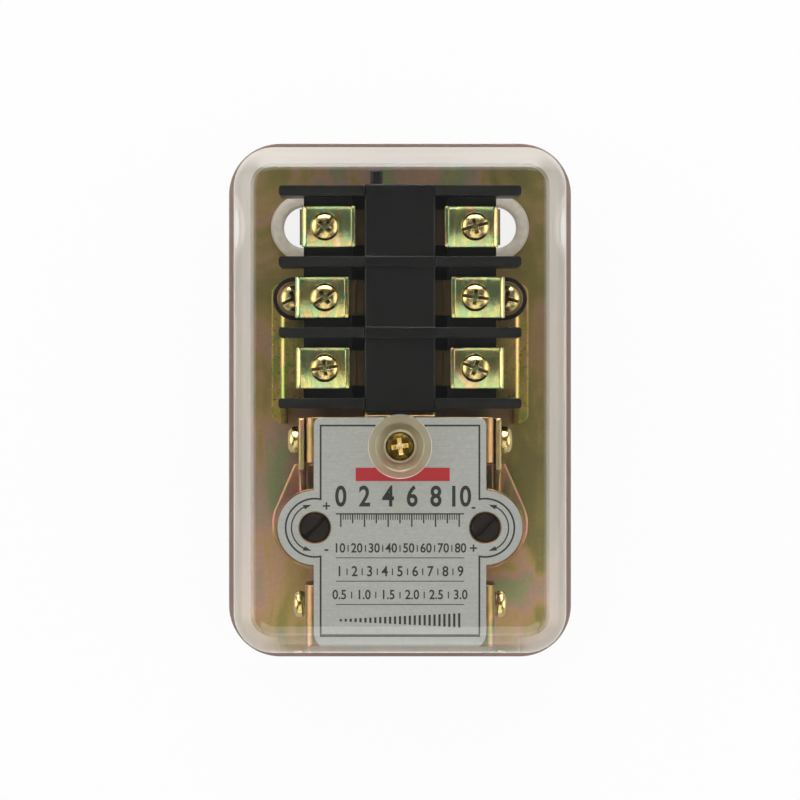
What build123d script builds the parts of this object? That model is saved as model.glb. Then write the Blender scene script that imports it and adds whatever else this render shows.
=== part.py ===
"""Diaphragm pressure switch for an air compressor: three-pole contacts under a clear lift-off cover.

Units are millimetres. +Z is up, out of the front of the cover. The origin is the centre of the
pressure port's mouth. +X is the load side, +Y runs from the pressure mechanism to the contacts.
Heights called "level" are measured from the tray's floor.
"""

import os

from build123d import *

os.makedirs("parts", exist_ok=True)

# Pressure port and diaphragm stack
hex_across_flats = 22.0
hex_height = 11.0
port_radius = 5.72  # core of a G 1/4 thread
port_depth = 12.0
passage_radius = 2.0
flange_radius = 25.0
flange_thickness = 6.0
chamber_radius = 14.5
chamber_depth = 1.5
diaphragm_thickness = 1.2
guide_thickness = 7.0
guide_roof = 2.2
guide_boss_radius = 7.5
guide_boss_height = 6.0
piston_disc_radius = 12.5
piston_disc_thickness = 2.5
piston_stem_radius = 4.0
stack_screw_offset = 13.4  # from the port's axis, along X and along Y

# Base tray
tray_width = 80.0
tray_length = 120.0
tray_corner = 12.0
tray_sheet = 1.2
tray_rim = 4.5
tray_low_gap = 6.9  # from the yoke's lower end to the tray's outline
grommet_side_gap = 17.8
grommet_end_gap = 19.9  # from the tray's upper outline
grommet_lip = 2.2
grommet_rim = 1.8
grommet_bore = 4.8
grommet_neck = 6.2
grommet_flange = 7.8

# Support bracket, yoke and nameplate
bracket_sheet = 1.5
yoke_half_width = 21.2
yoke_half_length = 24.6
yoke_level = 44.1
upper_leg_width = 10.1
upper_leg_bottom = 24.0
lower_leg_width = 11.8
lower_leg_bottom = 19.0
ear_half_width = 19.55
upper_ear_level = 40.0
lower_ear_level = 31.0
side_screw_upper_y = 19.5
side_screw_lower_y = -17.8
pivot_level = 36.0
lower_screw_level = 25.5
nameplate_thickness = 0.5
nameplate_half_width = 19.25
lobe_radius = 8.3
plate_lip = 0.35  # how far the yoke stands out past the nameplate at the lobes
adjuster_x = 19.0
cover_screw_y = 18.2

# Main lever, adjusters and springs
lever_sheet = 1.5
lever_level = 16.0
lever_lobe = 10.3
lever_head_half_width = 24.2
lever_head_y = 13.8
arm_sheet = 1.2
arm_gap = 0.2
arm_start_y = 7.6  # clear of the springs
tail_half_width = 8.0
tail_gap = 7.0  # from the rocker's pin
arm_shoulder_drop = 5.0  # below the pivot
arm_step = 2.0
crossbar_half_width = 15.5
crossbar_width = 2.6
adjuster_head_radius = 3.25
adjuster_collar_radius = 5.0
adjuster_shank_radius = 2.5
adjuster_bottom_level = 20.0
spring_nut_radius = 7.2
spring_nut_level = 39.0
spring_nut_flange = 1.6
spring_nut_hub = 3.8
spring_nut_hub_depth = 4.5
pressure_spring_radius = 5.9
pressure_wire_radius = 0.9
differential_spring_radius = 5.3
differential_wire_radius = 0.6

# Contact bracket, rocker and toggle springs
contact_sheet = 1.2
web_level = 19.2
web_start_gap = 3.9  # from the yoke's upper end
web_end_margin = 3.9  # past the block's middle
wall_lap = 1.6  # of the walls beside the yoke
contact_wall_x = 27.4
foot_half_width = 29.8
foot_corner = 2.2
rocker_reach = 13.6  # from the pin to the block's middle
rocker_pivot_level = 12.6
rocker_pin_radius = 1.5
rocker_barrel_radius = 2.7
rocker_half_width = 7.0
rocker_sheet = 1.2
rocker_hook_reach = 8.0  # from the pin
lug_x = 8.6
toggle_spring_x = 13.3
toggle_spring_radius = 1.7
toggle_wire_radius = 0.35

# Contact block
block_low_gap = 3.15  # from the yoke's upper end to the middle of the first rib
block_high_gap = 13.05  # from the middle of the last rib to the tray's outline
rib_thickness = 2.3
rib_half_length = 27.2
rib_level = 40.0
fin_bottom_level = 23.5
block_half_width = 21.7
pedestal_level = 33.0
pedestal_inner_x = 10.8
channel_level = 22.0
mounting_ear_x = 24.0
mounting_ear_radius = 4.9
mounting_ear_level = 22.2
cap_half_width = 7.9
cap_wall = 1.3
cap_level = 38.8
cap_overhang_low = 0.9
cap_overhang_high = 0.4

# Contacts and terminals
terminal_x = 16.9
strip_thickness = 0.8
strip_width = 8.0
strip_inner_x = 3.3
strip_leaf_level = 31.8
contact_tip_x = 4.8
contact_tip_radius = 1.5
fixed_tip_thickness = 0.6
contact_gap = 0.1  # left at rest between the closed tips
bridge_half_length = 6.2
bridge_width = 5.2
bridge_thickness = 1.0
bridge_tip_thickness = 1.1
rocker_window_width = 9.0
rocker_window_length = 9.5
contact_spring_radius = 1.6
contact_spring_wire = 0.25
return_spring_radius = 1.8
return_spring_wire = 0.3
clamp_length = 11.6
clamp_width = 9.2
terminal_screw_bite = 7.8
clamp_thickness = 0.9
clamp_lip = 1.1
carrier_half_thickness = 2.4
carrier_level = 33.2
carrier_bottom_level = 23.5
carrier_foot_level = 17.4
carrier_foot_width = 6.0
carrier_end_margin = 2.9  # from the outer ribs' outer faces to the carrier's ends
carrier_travel = 2.4
window_width = 6.4
window_bottom_level = 24.6
window_top_level = 30.0

# Clear cover
cover_gap = 0.3
cover_height = 57.0
cover_end_gap = 1.1
cover_wall = 1.5
cover_front = 2.2
cover_draft = 1.8
cover_edge_radius = 6.3
cover_inner_radius = 4.5
boss_top_radius = 7.05
boss_draft = 4.0
boss_floor = 2.3
recess_top_radius = 5.2
recess_bottom_radius = 3.7

# Fasteners
m4_radius = 1.95
m4_head_radius = 3.25
m4_head_height = 2.4
m4_nut_across_flats = 7.0
m4_nut_height = 3.2
m3_radius = 1.5
m3_head_radius = 3.0
m3_head_height = 2.3
pivot_shoulder_radius = 2.0
washer_thickness = 0.8
recess_depth = 1.3
slot_width = 0.8
running_gap = 0.05  # radial, shaft in hole
seat_gap = 0.1  # between faces that are clamped or pressed together across a joint
clearance = 0.3

# Derived heights and places
tray_centre_y = tray_length / 2 - yoke_half_length - tray_low_gap
tray_high_y = tray_centre_y + tray_length / 2
grommet_x = tray_width / 2 - grommet_side_gap
grommet_y = tray_high_y - grommet_end_gap
block_low_rib_y = yoke_half_length + block_low_gap
block_high_rib_y = tray_high_y - block_high_gap
block_centre_y = (block_low_rib_y + block_high_rib_y) / 2
pole_pitch = (block_high_rib_y - block_low_rib_y) / 3
web_start_y = yoke_half_length + web_start_gap
web_end_y = block_centre_y + web_end_margin
wall_start_y = yoke_half_length - wall_lap
rocker_pivot_y = block_centre_y - rocker_reach
rocker_hook_y = rocker_pivot_y + rocker_hook_reach
tail_end_y = rocker_pivot_y - tail_gap
flange_top = hex_height + flange_thickness
diaphragm_top = flange_top + diaphragm_thickness
guide_top = diaphragm_top + guide_thickness
floor = guide_top + tray_sheet
yoke_top = floor + yoke_level
groove_level = carrier_bottom_level - carrier_travel - 0.5
nameplate_top = yoke_top + nameplate_thickness
lever_top = floor + lever_level
lever_bottom = lever_top - lever_sheet
pivot_z = floor + pivot_level
web_top = floor + web_level
web_bottom = web_top - contact_sheet
rocker_z = floor + rocker_pivot_level
pole_places = [block_centre_y + pole_pitch * step for step in (-1, 0, 1)]
rib_places = [block_centre_y + pole_pitch * step for step in (-1.5, -0.5, 0.5, 1.5)]
block_low_y = rib_places[0] - rib_thickness / 2
block_high_y = rib_places[-1] + rib_thickness / 2
strip_top = floor + pedestal_level + strip_thickness
clamp_bottom = strip_top + clamp_lip
clamp_top = clamp_bottom + clamp_thickness
stack_places = [
    (x * stack_screw_offset, y * stack_screw_offset) for x in (-1, 1) for y in (-1, 1)
]
terminal_places = [
    (x * terminal_x, y) for x in (-1, 1) for y in pole_places
]


def save(solid, name):
    """Labels a finished piece and writes its STEP file."""
    solid.label = name
    export_step(solid, f"parts/{name}.step")


def save_group(solids, name):
    """Writes identical pieces as one group of separate solids."""
    save(Compound(children=solids), name)


def screw(plane, head_radius, head_height, shanks, slotted=True, crossed=True):
    """A pan-head screw whose head stands on the plane; shanks are (radius, length) going down."""
    with BuildPart() as body:
        with BuildSketch(plane):
            Circle(head_radius)
        extrude(amount=head_height)
        head_top = body.faces().sort_by(Axis(plane.origin, plane.z_dir))[-1]
        fillet(head_top.edges(), head_height * 0.55)
        depth = 0.0
        for radius, length in shanks:
            with BuildSketch(plane.offset(-depth)):
                Circle(radius)
            extrude(amount=-length)
            depth += length
        with BuildSketch(plane.offset(head_height)):
            if slotted:
                Rectangle(2.2 * head_radius, slot_width)
            if crossed:
                Rectangle(slot_width * 1.2, head_radius * 1.15)
                Rectangle(head_radius * 1.15, slot_width * 1.2)
        extrude(amount=-recess_depth, mode=Mode.SUBTRACT)
    return body.part


def coil_spring(plane, radius, wire_radius, length, turns):
    """A plain helical spring standing on the plane; length is over the wire's outside."""
    rise = length - 2 * wire_radius
    with BuildPart() as body:
        with BuildLine(Plane.XY.offset(wire_radius)):
            path = Helix(pitch=rise / turns, height=rise, radius=radius)
        with BuildSketch(Plane(origin=path @ 0, z_dir=path % 0)):
            Circle(wire_radius)
        sweep(path=path, is_frenet=True)
    return body.part.moved(plane.location)


# Port flange: hexagon boss with the threaded port, and the pressure chamber in its top
with BuildPart() as port_flange:
    with BuildSketch():
        RegularPolygon(hex_across_flats / 2, 6, major_radius=False)
    extrude(amount=hex_height)
    chamfer(port_flange.faces().sort_by(Axis.Z)[0].edges(), 0.8)
    with BuildSketch(Plane.XY.offset(hex_height)):
        Circle(flange_radius)
    extrude(amount=flange_thickness)
    fillet(port_flange.edges().filter_by(GeomType.CIRCLE).group_by(Axis.Z)[0], 1.5)
    with BuildSketch(Plane.XY.offset(flange_top)):
        Circle(chamber_radius)
    extrude(amount=-chamber_depth, mode=Mode.SUBTRACT)
    with BuildSketch():
        Circle(port_radius)
    extrude(amount=port_depth, mode=Mode.SUBTRACT)
    with BuildSketch():
        Circle(passage_radius)
    extrude(amount=flange_top, mode=Mode.SUBTRACT)
    with BuildSketch(Plane.XY.offset(hex_height)):
        with Locations(*stack_places):
            Circle(m4_radius + clearance)
    extrude(amount=flange_thickness, mode=Mode.SUBTRACT)
save(port_flange.part, "port_flange")

# Diaphragm: rubber disc clamped between the flange and the guide
with BuildPart() as diaphragm:
    with BuildSketch(Plane.XY.offset(flange_top)):
        Circle(flange_radius)
        with Locations(*stack_places):
            Circle(m4_radius + clearance, mode=Mode.SUBTRACT)
    extrude(amount=diaphragm_thickness)
save(diaphragm.part, "diaphragm")

# Piston guide: upper half of the stack, with a boss that passes up through the tray
with BuildPart() as piston_guide:
    with BuildSketch(Plane.XY.offset(diaphragm_top)):
        Circle(flange_radius)
    extrude(amount=guide_thickness)
    with BuildSketch(Plane.XY.offset(guide_top)):
        Circle(guide_boss_radius)
    extrude(amount=guide_boss_height)
    chamfer(piston_guide.faces().sort_by(Axis.Z)[-1].edges(), 0.6)
    with BuildSketch(Plane.XY.offset(diaphragm_top)):
        Circle(piston_disc_radius + 1)
    extrude(amount=guide_thickness - guide_roof, mode=Mode.SUBTRACT)
    with BuildSketch(Plane.XY.offset(diaphragm_top)):
        Circle(piston_stem_radius + running_gap)
        with Locations(*stack_places):
            Circle(m4_radius + clearance)
    extrude(amount=guide_thickness + guide_boss_height, mode=Mode.SUBTRACT)
save(piston_guide.part, "piston_guide")

# Piston: disc on the diaphragm with a stem that lifts the main lever
with BuildPart() as piston:
    with BuildSketch(Plane.XY.offset(diaphragm_top + seat_gap)):
        Circle(piston_disc_radius)
    extrude(amount=piston_disc_thickness)
    with BuildSketch(Plane.XY.offset(diaphragm_top + seat_gap)):
        Circle(piston_stem_radius)
    extrude(amount=lever_bottom - clearance - diaphragm_top - seat_gap)
    fillet(piston.faces().sort_by(Axis.Z)[-1].edges(), piston_stem_radius * 0.4)
save(piston.part, "piston")

# Four screws clamp the stack from below; their nuts stand on the support bracket
nut_bottom = floor + bracket_sheet
stack_screw_length = nut_bottom + m4_nut_height + 0.8 - hex_height
save_group(
    [
        screw(
            Plane(origin=(x, y, hex_height), z_dir=(0, 0, -1)),
            m4_head_radius,
            m4_head_height,
            [(m4_radius, stack_screw_length)],
            slotted=False,
        )
        for x, y in stack_places
    ],
    "stack_screws",
)
stack_nuts = []
for x, y in stack_places:
    with BuildPart() as nut:
        with BuildSketch(Plane.XY.offset(nut_bottom)):
            with Locations((x, y)):
                RegularPolygon(m4_nut_across_flats / 2, 6, major_radius=False, rotation=30)
                Circle(m4_radius + running_gap, mode=Mode.SUBTRACT)
        extrude(amount=m4_nut_height)
    stack_nuts.append(nut.part)
save_group(stack_nuts, "stack_nuts")

# Base tray: pressed sheet with an upturned rim
with BuildPart() as base_tray:
    with BuildSketch(Plane.XY.offset(guide_top)):
        with Locations((0, tray_centre_y)):
            RectangleRounded(tray_width, tray_length, tray_corner)
    extrude(amount=tray_sheet + tray_rim)
    fillet(base_tray.faces().sort_by(Axis.Z)[0].edges(), 2 * tray_sheet)
    with BuildSketch(Plane.XY.offset(floor)):
        with Locations((0, tray_centre_y)):
            RectangleRounded(
                tray_width - 2 * tray_sheet,
                tray_length - 2 * tray_sheet,
                tray_corner - tray_sheet,
            )
    extrude(amount=tray_rim, mode=Mode.SUBTRACT)
    with BuildSketch(Plane.XY.offset(guide_top)):
        Circle(guide_boss_radius + clearance)
        with Locations(*stack_places):
            Circle(m4_radius + clearance)
        with Locations((-grommet_x, grommet_y), (grommet_x, grommet_y)):
            Circle(grommet_neck)
    extrude(amount=tray_sheet, mode=Mode.SUBTRACT)
save(base_tray.part, "base_tray")

# Cable grommets: soft bushes gripping the edges of the tray's two cable holes
for side, name in ((-1, "cable_grommet_left"), (1, "cable_grommet_right")):
    with BuildPart() as grommet:
        with BuildSketch(Plane.XY.offset(guide_top - grommet_lip)):
            with Locations((side * grommet_x, grommet_y)):
                Circle(grommet_flange - 0.4)
        extrude(amount=grommet_lip)
        with BuildSketch(Plane.XY.offset(guide_top)):
            with Locations((side * grommet_x, grommet_y)):
                Circle(grommet_neck)
        extrude(amount=tray_sheet)
        with BuildSketch(Plane.XY.offset(floor)):
            with Locations((side * grommet_x, grommet_y)):
                Circle(grommet_flange)
        extrude(amount=grommet_rim)
        rims = grommet.edges().filter_by(GeomType.CIRCLE).group_by(Axis.Z)
        fillet([rims[0][0], rims[-1][0]], 0.7)
        with BuildSketch(Plane.XY.offset(guide_top - grommet_lip)):
            with Locations((side * grommet_x, grommet_y)):
                Circle(grommet_bore)
        extrude(amount=grommet_lip + tray_sheet + grommet_rim, mode=Mode.SUBTRACT)
    save(grommet.part, name)

# Support bracket: plate clamped by the stack's nuts, with four upright ears for the yoke
with BuildPart() as support_bracket:
    with BuildSketch(Plane.XY.offset(floor)):
        Rectangle(2 * ear_half_width, 2 * yoke_half_length - 0.2)
    extrude(amount=bracket_sheet)
    for side in (-1, 1):
        for low_y, high_y, level in (
            (-yoke_half_length + 0.1, -yoke_half_length + lower_leg_width - 0.4, lower_ear_level),
            (yoke_half_length - upper_leg_width + 0.5, yoke_half_length - 0.1, upper_ear_level),
        ):
            ear_outer = side * ear_half_width
            with BuildSketch(Plane.YZ.offset(ear_outer)):
                with Locations(((low_y + high_y) / 2, floor)):
                    Rectangle(high_y - low_y, level, align=(Align.CENTER, Align.MIN))
            extrude(amount=-side * bracket_sheet)
    fillet(
        support_bracket.edges().filter_by(Axis.X).group_by(Axis.Z)[-1]
        + support_bracket.edges().filter_by(Axis.X).group_by(Axis.Z)[-2],
        2.5,
    )
    fillet(
        support_bracket.faces().sort_by(Axis.Z)[0].edges().filter_by(Axis.Y), bracket_sheet * 0.8
    )
    with BuildSketch(Plane.XY.offset(floor)):
        Circle(guide_boss_radius + clearance)
        with Locations(*stack_places):
            Circle(m4_radius + clearance)
    extrude(amount=bracket_sheet, mode=Mode.SUBTRACT)
    with BuildSketch(Plane.YZ.offset(-ear_half_width)):
        with Locations((side_screw_upper_y, pivot_z), (side_screw_lower_y, floor + lower_screw_level)):
            Circle(m3_radius + running_gap)
    extrude(amount=2 * ear_half_width, mode=Mode.SUBTRACT)
save(support_bracket.part, "support_bracket")

# Yoke: top plate with two lobes for the adjusters, and four legs outside the bracket's ears
with BuildPart() as frame_yoke:
    with BuildSketch(Plane.XY.offset(yoke_top - bracket_sheet)):
        Rectangle(2 * nameplate_half_width, 2 * yoke_half_length)
        with Locations((-adjuster_x, 0), (adjuster_x, 0)):
            Circle(lobe_radius + plate_lip)
        with Locations((0, yoke_half_length)):
            Rectangle(2 * cap_half_width, 1.0)
    extrude(amount=bracket_sheet)
    for centre_y, width, bottom in (
        (yoke_half_length - upper_leg_width / 2, upper_leg_width, upper_leg_bottom),
        (-yoke_half_length + lower_leg_width / 2, lower_leg_width, lower_leg_bottom),
    ):
        with BuildSketch(Plane.XZ.offset(-centre_y)) as leg_profile:
            with Locations((0, yoke_top)):
                Rectangle(
                    2 * yoke_half_width, yoke_level - bottom, align=(Align.CENTER, Align.MAX)
                )
            fillet(leg_profile.vertices().group_by(Axis.Z)[-1], 2.0)
            with Locations((0, yoke_top - bracket_sheet)):
                Rectangle(
                    2 * (yoke_half_width - bracket_sheet),
                    yoke_level - bottom,
                    align=(Align.CENTER, Align.MAX),
                    mode=Mode.SUBTRACT,
                )
        extrude(amount=width / 2, both=True)
    with BuildSketch(Plane.XY.offset(yoke_top - bracket_sheet)):
        with Locations((-adjuster_x, 0), (adjuster_x, 0)):
            Circle(adjuster_head_radius + 0.2)
        with Locations((0, cover_screw_y)):
            Circle(m4_radius + running_gap)
    extrude(amount=bracket_sheet, mode=Mode.SUBTRACT)
    with BuildSketch(Plane.YZ.offset(-yoke_half_width)):
        with Locations((side_screw_upper_y, pivot_z)):
            Circle(pivot_shoulder_radius + running_gap)
        with Locations((side_screw_lower_y, floor + lower_screw_level)):
            Circle(m3_radius + clearance)
    extrude(amount=2 * yoke_half_width, mode=Mode.SUBTRACT)
save(frame_yoke.part, "frame_yoke")

# Nameplate: thin plate with the yoke's outline, glued to its top
with BuildPart() as nameplate:
    with BuildSketch(Plane.XY.offset(yoke_top)) as nameplate_outline:
        RectangleRounded(2 * nameplate_half_width, 2 * yoke_half_length, 1.5)
        with Locations((-adjuster_x, 0), (adjuster_x, 0)):
            Circle(lobe_radius)
            Circle(adjuster_head_radius + 0.15, mode=Mode.SUBTRACT)
        with Locations((0, cover_screw_y)):
            Circle(m4_radius + clearance, mode=Mode.SUBTRACT)
    extrude(amount=nameplate_thickness)
save(nameplate.part, "nameplate")

# Main lever: spring plate with two lobes, arms up to the pivots, and a tail under the contacts
with BuildPart() as main_lever:
    with BuildSketch(Plane.XY.offset(lever_bottom)):
        with Locations((-adjuster_x, 0), (adjuster_x, 0)):
            Circle(lever_lobe)
        with Locations((0, lever_head_y)):
            Rectangle(2 * lever_head_half_width, 1.0, align=(Align.CENTER, Align.MAX))
        make_hull()
        with Locations((0, 0)):
            Rectangle(2 * tail_half_width, tail_end_y, align=(Align.CENTER, Align.MIN))
        with Locations((0, tail_end_y)):
            Rectangle(2 * crossbar_half_width, crossbar_width, align=(Align.CENTER, Align.MAX))
        with Locations(*[(x * toggle_spring_x, tail_end_y - crossbar_width / 2) for x in (-1, 1)]):
            Circle(0.6, mode=Mode.SUBTRACT)
    extrude(amount=lever_sheet)
    with BuildSketch(Plane.XY.offset(lever_top)):
        with Locations((-adjuster_x, 0), (adjuster_x, 0)):
            Circle(3.9)
    extrude(amount=1.2)
    with BuildSketch(Plane.XY.offset(lever_bottom)):
        with Locations((-adjuster_x, 0), (adjuster_x, 0)):
            Circle(adjuster_shank_radius + 0.6)
    extrude(amount=lever_sheet + 1.2, mode=Mode.SUBTRACT)
    with BuildSketch(Plane.YZ.offset(yoke_half_width + arm_gap)) as arm_profile:
        Polygon(
            (arm_start_y, lever_bottom),
            (lever_head_y, lever_bottom),
            (lever_head_y + 2.2, pivot_z - arm_shoulder_drop - 2 * arm_step),
            (yoke_half_length - 0.2, pivot_z - arm_shoulder_drop),
            (yoke_half_length - 0.2, floor + yoke_level - 1.0),
            (yoke_half_length - upper_leg_width - 1.6, floor + yoke_level - 1.0),
            (yoke_half_length - upper_leg_width - 2.4, pivot_z - arm_shoulder_drop - arm_step),
            (arm_start_y, lever_top + 1.0),
            align=None,
        )
        with Locations((side_screw_upper_y, pivot_z)):
            Circle(pivot_shoulder_radius + running_gap, mode=Mode.SUBTRACT)
    extrude(amount=arm_sheet)
    mirror(about=Plane.YZ, mode=Mode.ADD)
save(main_lever.part, "main_lever")

# Shouldered pivot screws through the lever's arms and the yoke into the support bracket
arm_outer = yoke_half_width + arm_gap + arm_sheet
pivot_head_x = arm_outer + seat_gap
save_group(
    [
        screw(
            Plane(
                origin=(side * pivot_head_x, side_screw_upper_y, pivot_z),
                x_dir=(0, 1, 0),
                z_dir=(side, 0, 0),
            ),
            m3_head_radius + 0.1,
            m3_head_height + 0.2,
            [
                (pivot_shoulder_radius, pivot_head_x - ear_half_width - seat_gap),
                (m3_radius, bracket_sheet + 1.6),
            ],
            crossed=False,
        )
        for side in (-1, 1)
    ],
    "pivot_screws",
)

# Lower yoke screws with their washers
save_group(
    [
        screw(
            Plane(
                origin=(
                    side * (yoke_half_width + washer_thickness),
                    side_screw_lower_y,
                    floor + lower_screw_level,
                ),
                x_dir=(0, 1, 0),
                z_dir=(side, 0, 0),
            ),
            m3_head_radius,
            m3_head_height,
            [(m3_radius, yoke_half_width + washer_thickness - ear_half_width + bracket_sheet + 1.6)],
            slotted=False,
        )
        for side in (-1, 1)
    ],
    "yoke_screws",
)
yoke_washers = []
for side in (-1, 1):
    with BuildPart() as washer:
        with BuildSketch(Plane.YZ.offset(side * yoke_half_width)):
            with Locations((side_screw_lower_y, floor + lower_screw_level)):
                Circle(m3_head_radius - 0.2)
                Circle(m3_radius + 0.1, mode=Mode.SUBTRACT)
        extrude(amount=side * washer_thickness)
    yoke_washers.append(washer.part)
save_group(yoke_washers, "yoke_washers")

# Adjusters: slotted studs held up against the yoke by the springs' thrust
for side, name in ((-1, "pressure"), (1, "differential")):
    collar_top = yoke_top - bracket_sheet - seat_gap
    with BuildPart() as adjuster:
        with BuildSketch(Plane.XY.offset(collar_top)):
            with Locations((side * adjuster_x, 0)):
                Circle(adjuster_collar_radius)
        extrude(amount=-1.6)
        with BuildSketch(Plane.XY.offset(collar_top)):
            with Locations((side * adjuster_x, 0)):
                Circle(adjuster_head_radius)
        extrude(amount=bracket_sheet - 0.1)
        chamfer(adjuster.faces().sort_by(Axis.Z)[-1].edges(), 0.25)
        with BuildSketch(Plane.XY.offset(floor + adjuster_bottom_level)):
            with Locations((side * adjuster_x, 0)):
                Circle(adjuster_shank_radius)
        extrude(amount=yoke_level - adjuster_bottom_level - bracket_sheet - 1)
        with BuildSketch(Plane.XY.offset(collar_top + bracket_sheet)):
            with Locations(Location((side * adjuster_x, 0), 45)):
                Rectangle(2.2 * adjuster_head_radius, slot_width)
        extrude(amount=-recess_depth, mode=Mode.SUBTRACT)
    save(adjuster.part, f"{name}_adjuster")

    # Spring nut: travels along the adjuster, with two flats for a spanner
    with BuildPart() as spring_nut:
        with BuildSketch(Plane.XY.offset(floor + spring_nut_level - spring_nut_flange)):
            with Locations((side * adjuster_x, 0)):
                Circle(spring_nut_radius)
                Rectangle(3 * spring_nut_radius, 1.72 * spring_nut_radius, mode=Mode.INTERSECT)
        extrude(amount=spring_nut_flange)
        with BuildSketch(Plane.XY.offset(floor + spring_nut_level)):
            with Locations((side * adjuster_x, 0)):
                Circle(spring_nut_hub)
        extrude(amount=-spring_nut_flange - spring_nut_hub_depth)
        with BuildSketch(Plane.XY.offset(floor + spring_nut_level)):
            with Locations((side * adjuster_x, 0)):
                Circle(adjuster_shank_radius + running_gap)
        extrude(amount=-spring_nut_flange - spring_nut_hub_depth, mode=Mode.SUBTRACT)
    save(spring_nut.part, f"{name}_spring_nut")

spring_length = spring_nut_level - spring_nut_flange - lever_level - 2 * seat_gap
for side, name, radius, wire_radius, turns in (
    (-1, "pressure_spring", pressure_spring_radius, pressure_wire_radius, 6.0),
    (1, "differential_spring", differential_spring_radius, differential_wire_radius, 8.0),
):
    seat = Plane(origin=(side * adjuster_x, 0, lever_top + seat_gap))
    save(coil_spring(seat, radius, wire_radius, spring_length, turns), name)

# Contact bracket: hat section that carries the contact block above the lever's tail
with BuildPart() as contact_bracket:
    with BuildSketch(Plane.XY.offset(web_bottom)):
        with Locations((0, web_start_y)):
            Rectangle(2 * contact_wall_x, web_end_y - web_start_y, align=(Align.CENTER, Align.MIN))
    extrude(amount=contact_sheet)
    with BuildSketch(Plane.XY.offset(floor)):
        with Locations((0, (wall_start_y + web_end_y) / 2)):
            RectangleRounded(2 * foot_half_width, web_end_y - wall_start_y, foot_corner)
            Rectangle(2 * (contact_wall_x - contact_sheet), tray_length, mode=Mode.SUBTRACT)
    extrude(amount=contact_sheet)
    for side in (-1, 1):
        with BuildSketch(Plane.YZ.offset(side * contact_wall_x)):
            Polygon(
                (wall_start_y, floor),
                (web_end_y, floor),
                (web_end_y, web_top),
                (web_start_y, web_top),
                (wall_start_y, floor + 8),
                align=None,
            )
        extrude(amount=-side * contact_sheet)
        with BuildSketch(Plane.YZ.offset(side * lug_x)):
            with Locations((rocker_pivot_y, web_bottom)):
                Rectangle(6.4, web_bottom - rocker_z, align=(Align.CENTER, Align.MAX))
            with Locations((rocker_pivot_y, rocker_z)):
                Circle(3.2)
        extrude(amount=side * contact_sheet)
    fillet(contact_bracket.faces().sort_by(Axis.Z)[-1].edges().filter_by(Axis.Y), contact_sheet)
    with BuildSketch(Plane.XY.offset(web_bottom)):
        with Locations((0, web_end_y)):
            Rectangle(rocker_window_width, rocker_window_length, align=(Align.CENTER, Align.MAX))
        with Locations((-mounting_ear_x, block_centre_y), (mounting_ear_x, block_centre_y)):
            Circle(m4_radius + running_gap)
    extrude(amount=contact_sheet, mode=Mode.SUBTRACT)
    with BuildSketch(Plane.YZ.offset(-lug_x - 2)):
        with Locations((rocker_pivot_y, rocker_z)):
            Circle(rocker_pin_radius + running_gap)
    extrude(amount=2 * (lug_x + 2), mode=Mode.SUBTRACT)
save(contact_bracket.part, "contact_bracket")

# Rocker pin, headed at both ends outside the bracket's lugs
with BuildPart() as rocker_pin:
    lug_outer = lug_x + contact_sheet
    with BuildSketch(Plane.YZ.offset(-lug_outer)):
        with Locations((rocker_pivot_y, rocker_z)):
            Circle(rocker_pin_radius)
    extrude(amount=2 * lug_outer)
    for side in (-1, 1):
        with BuildSketch(Plane.YZ.offset(side * lug_outer)):
            with Locations((rocker_pivot_y, rocker_z)):
                Circle(rocker_pin_radius + 0.8)
        extrude(amount=side * 0.7)
save(rocker_pin.part, "rocker_pin")

# Trip rocker: barrel on the pin, an arm under the contact carrier and a bar for the toggle springs
with BuildPart() as trip_rocker:
    with BuildSketch(Plane.YZ.offset(-rocker_half_width)):
        with Locations((rocker_pivot_y, rocker_z)):
            Circle(rocker_barrel_radius)
    extrude(amount=2 * rocker_half_width)
    with BuildSketch(Plane.XY.offset(rocker_z - rocker_sheet / 2)):
        with Locations((0, rocker_pivot_y)):
            Rectangle(
                2 * rocker_half_width,
                block_centre_y - rocker_pivot_y + 2,
                align=(Align.CENTER, Align.MIN),
            )
        with Locations((0, rocker_hook_y)):
            Rectangle(2 * crossbar_half_width, crossbar_width)
        with Locations((-toggle_spring_x, rocker_hook_y), (toggle_spring_x, rocker_hook_y)):
            Circle(0.6, mode=Mode.SUBTRACT)
    extrude(amount=rocker_sheet)
    nose_radius = 1.4
    with BuildSketch(Plane.YZ.offset(-carrier_half_thickness)):
        with Locations((block_centre_y, floor + carrier_foot_level - seat_gap - nose_radius)):
            Circle(nose_radius)
            Rectangle(2 * nose_radius, 6.0, align=(Align.CENTER, Align.MAX))
        with Locations((block_centre_y, rocker_z - rocker_sheet / 2)):
            Rectangle(4 * nose_radius, 9.0, align=(Align.CENTER, Align.MAX), mode=Mode.SUBTRACT)
    extrude(amount=2 * carrier_half_thickness)
    with BuildSketch(Plane.YZ.offset(-rocker_half_width)):
        with Locations((rocker_pivot_y, rocker_z)):
            Circle(rocker_pin_radius + running_gap)
    extrude(amount=2 * rocker_half_width, mode=Mode.SUBTRACT)
save(trip_rocker.part, "trip_rocker")

# Toggle springs: a pair of tension springs from the lever's bar to the rocker's bar
toggle_start_y = tail_end_y + 0.6
toggle_end_y = rocker_hook_y - crossbar_width / 2 - 0.6
save_group(
    [
        coil_spring(
            Plane(
                origin=(side * toggle_spring_x, toggle_start_y, rocker_z + 0.4),
                x_dir=(1, 0, 0),
                z_dir=(0, 1, 0),
            ),
            toggle_spring_radius,
            toggle_wire_radius,
            toggle_end_y - toggle_start_y,
            11.0,
        )
        for side in (-1, 1)
    ],
    "toggle_springs",
)

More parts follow.
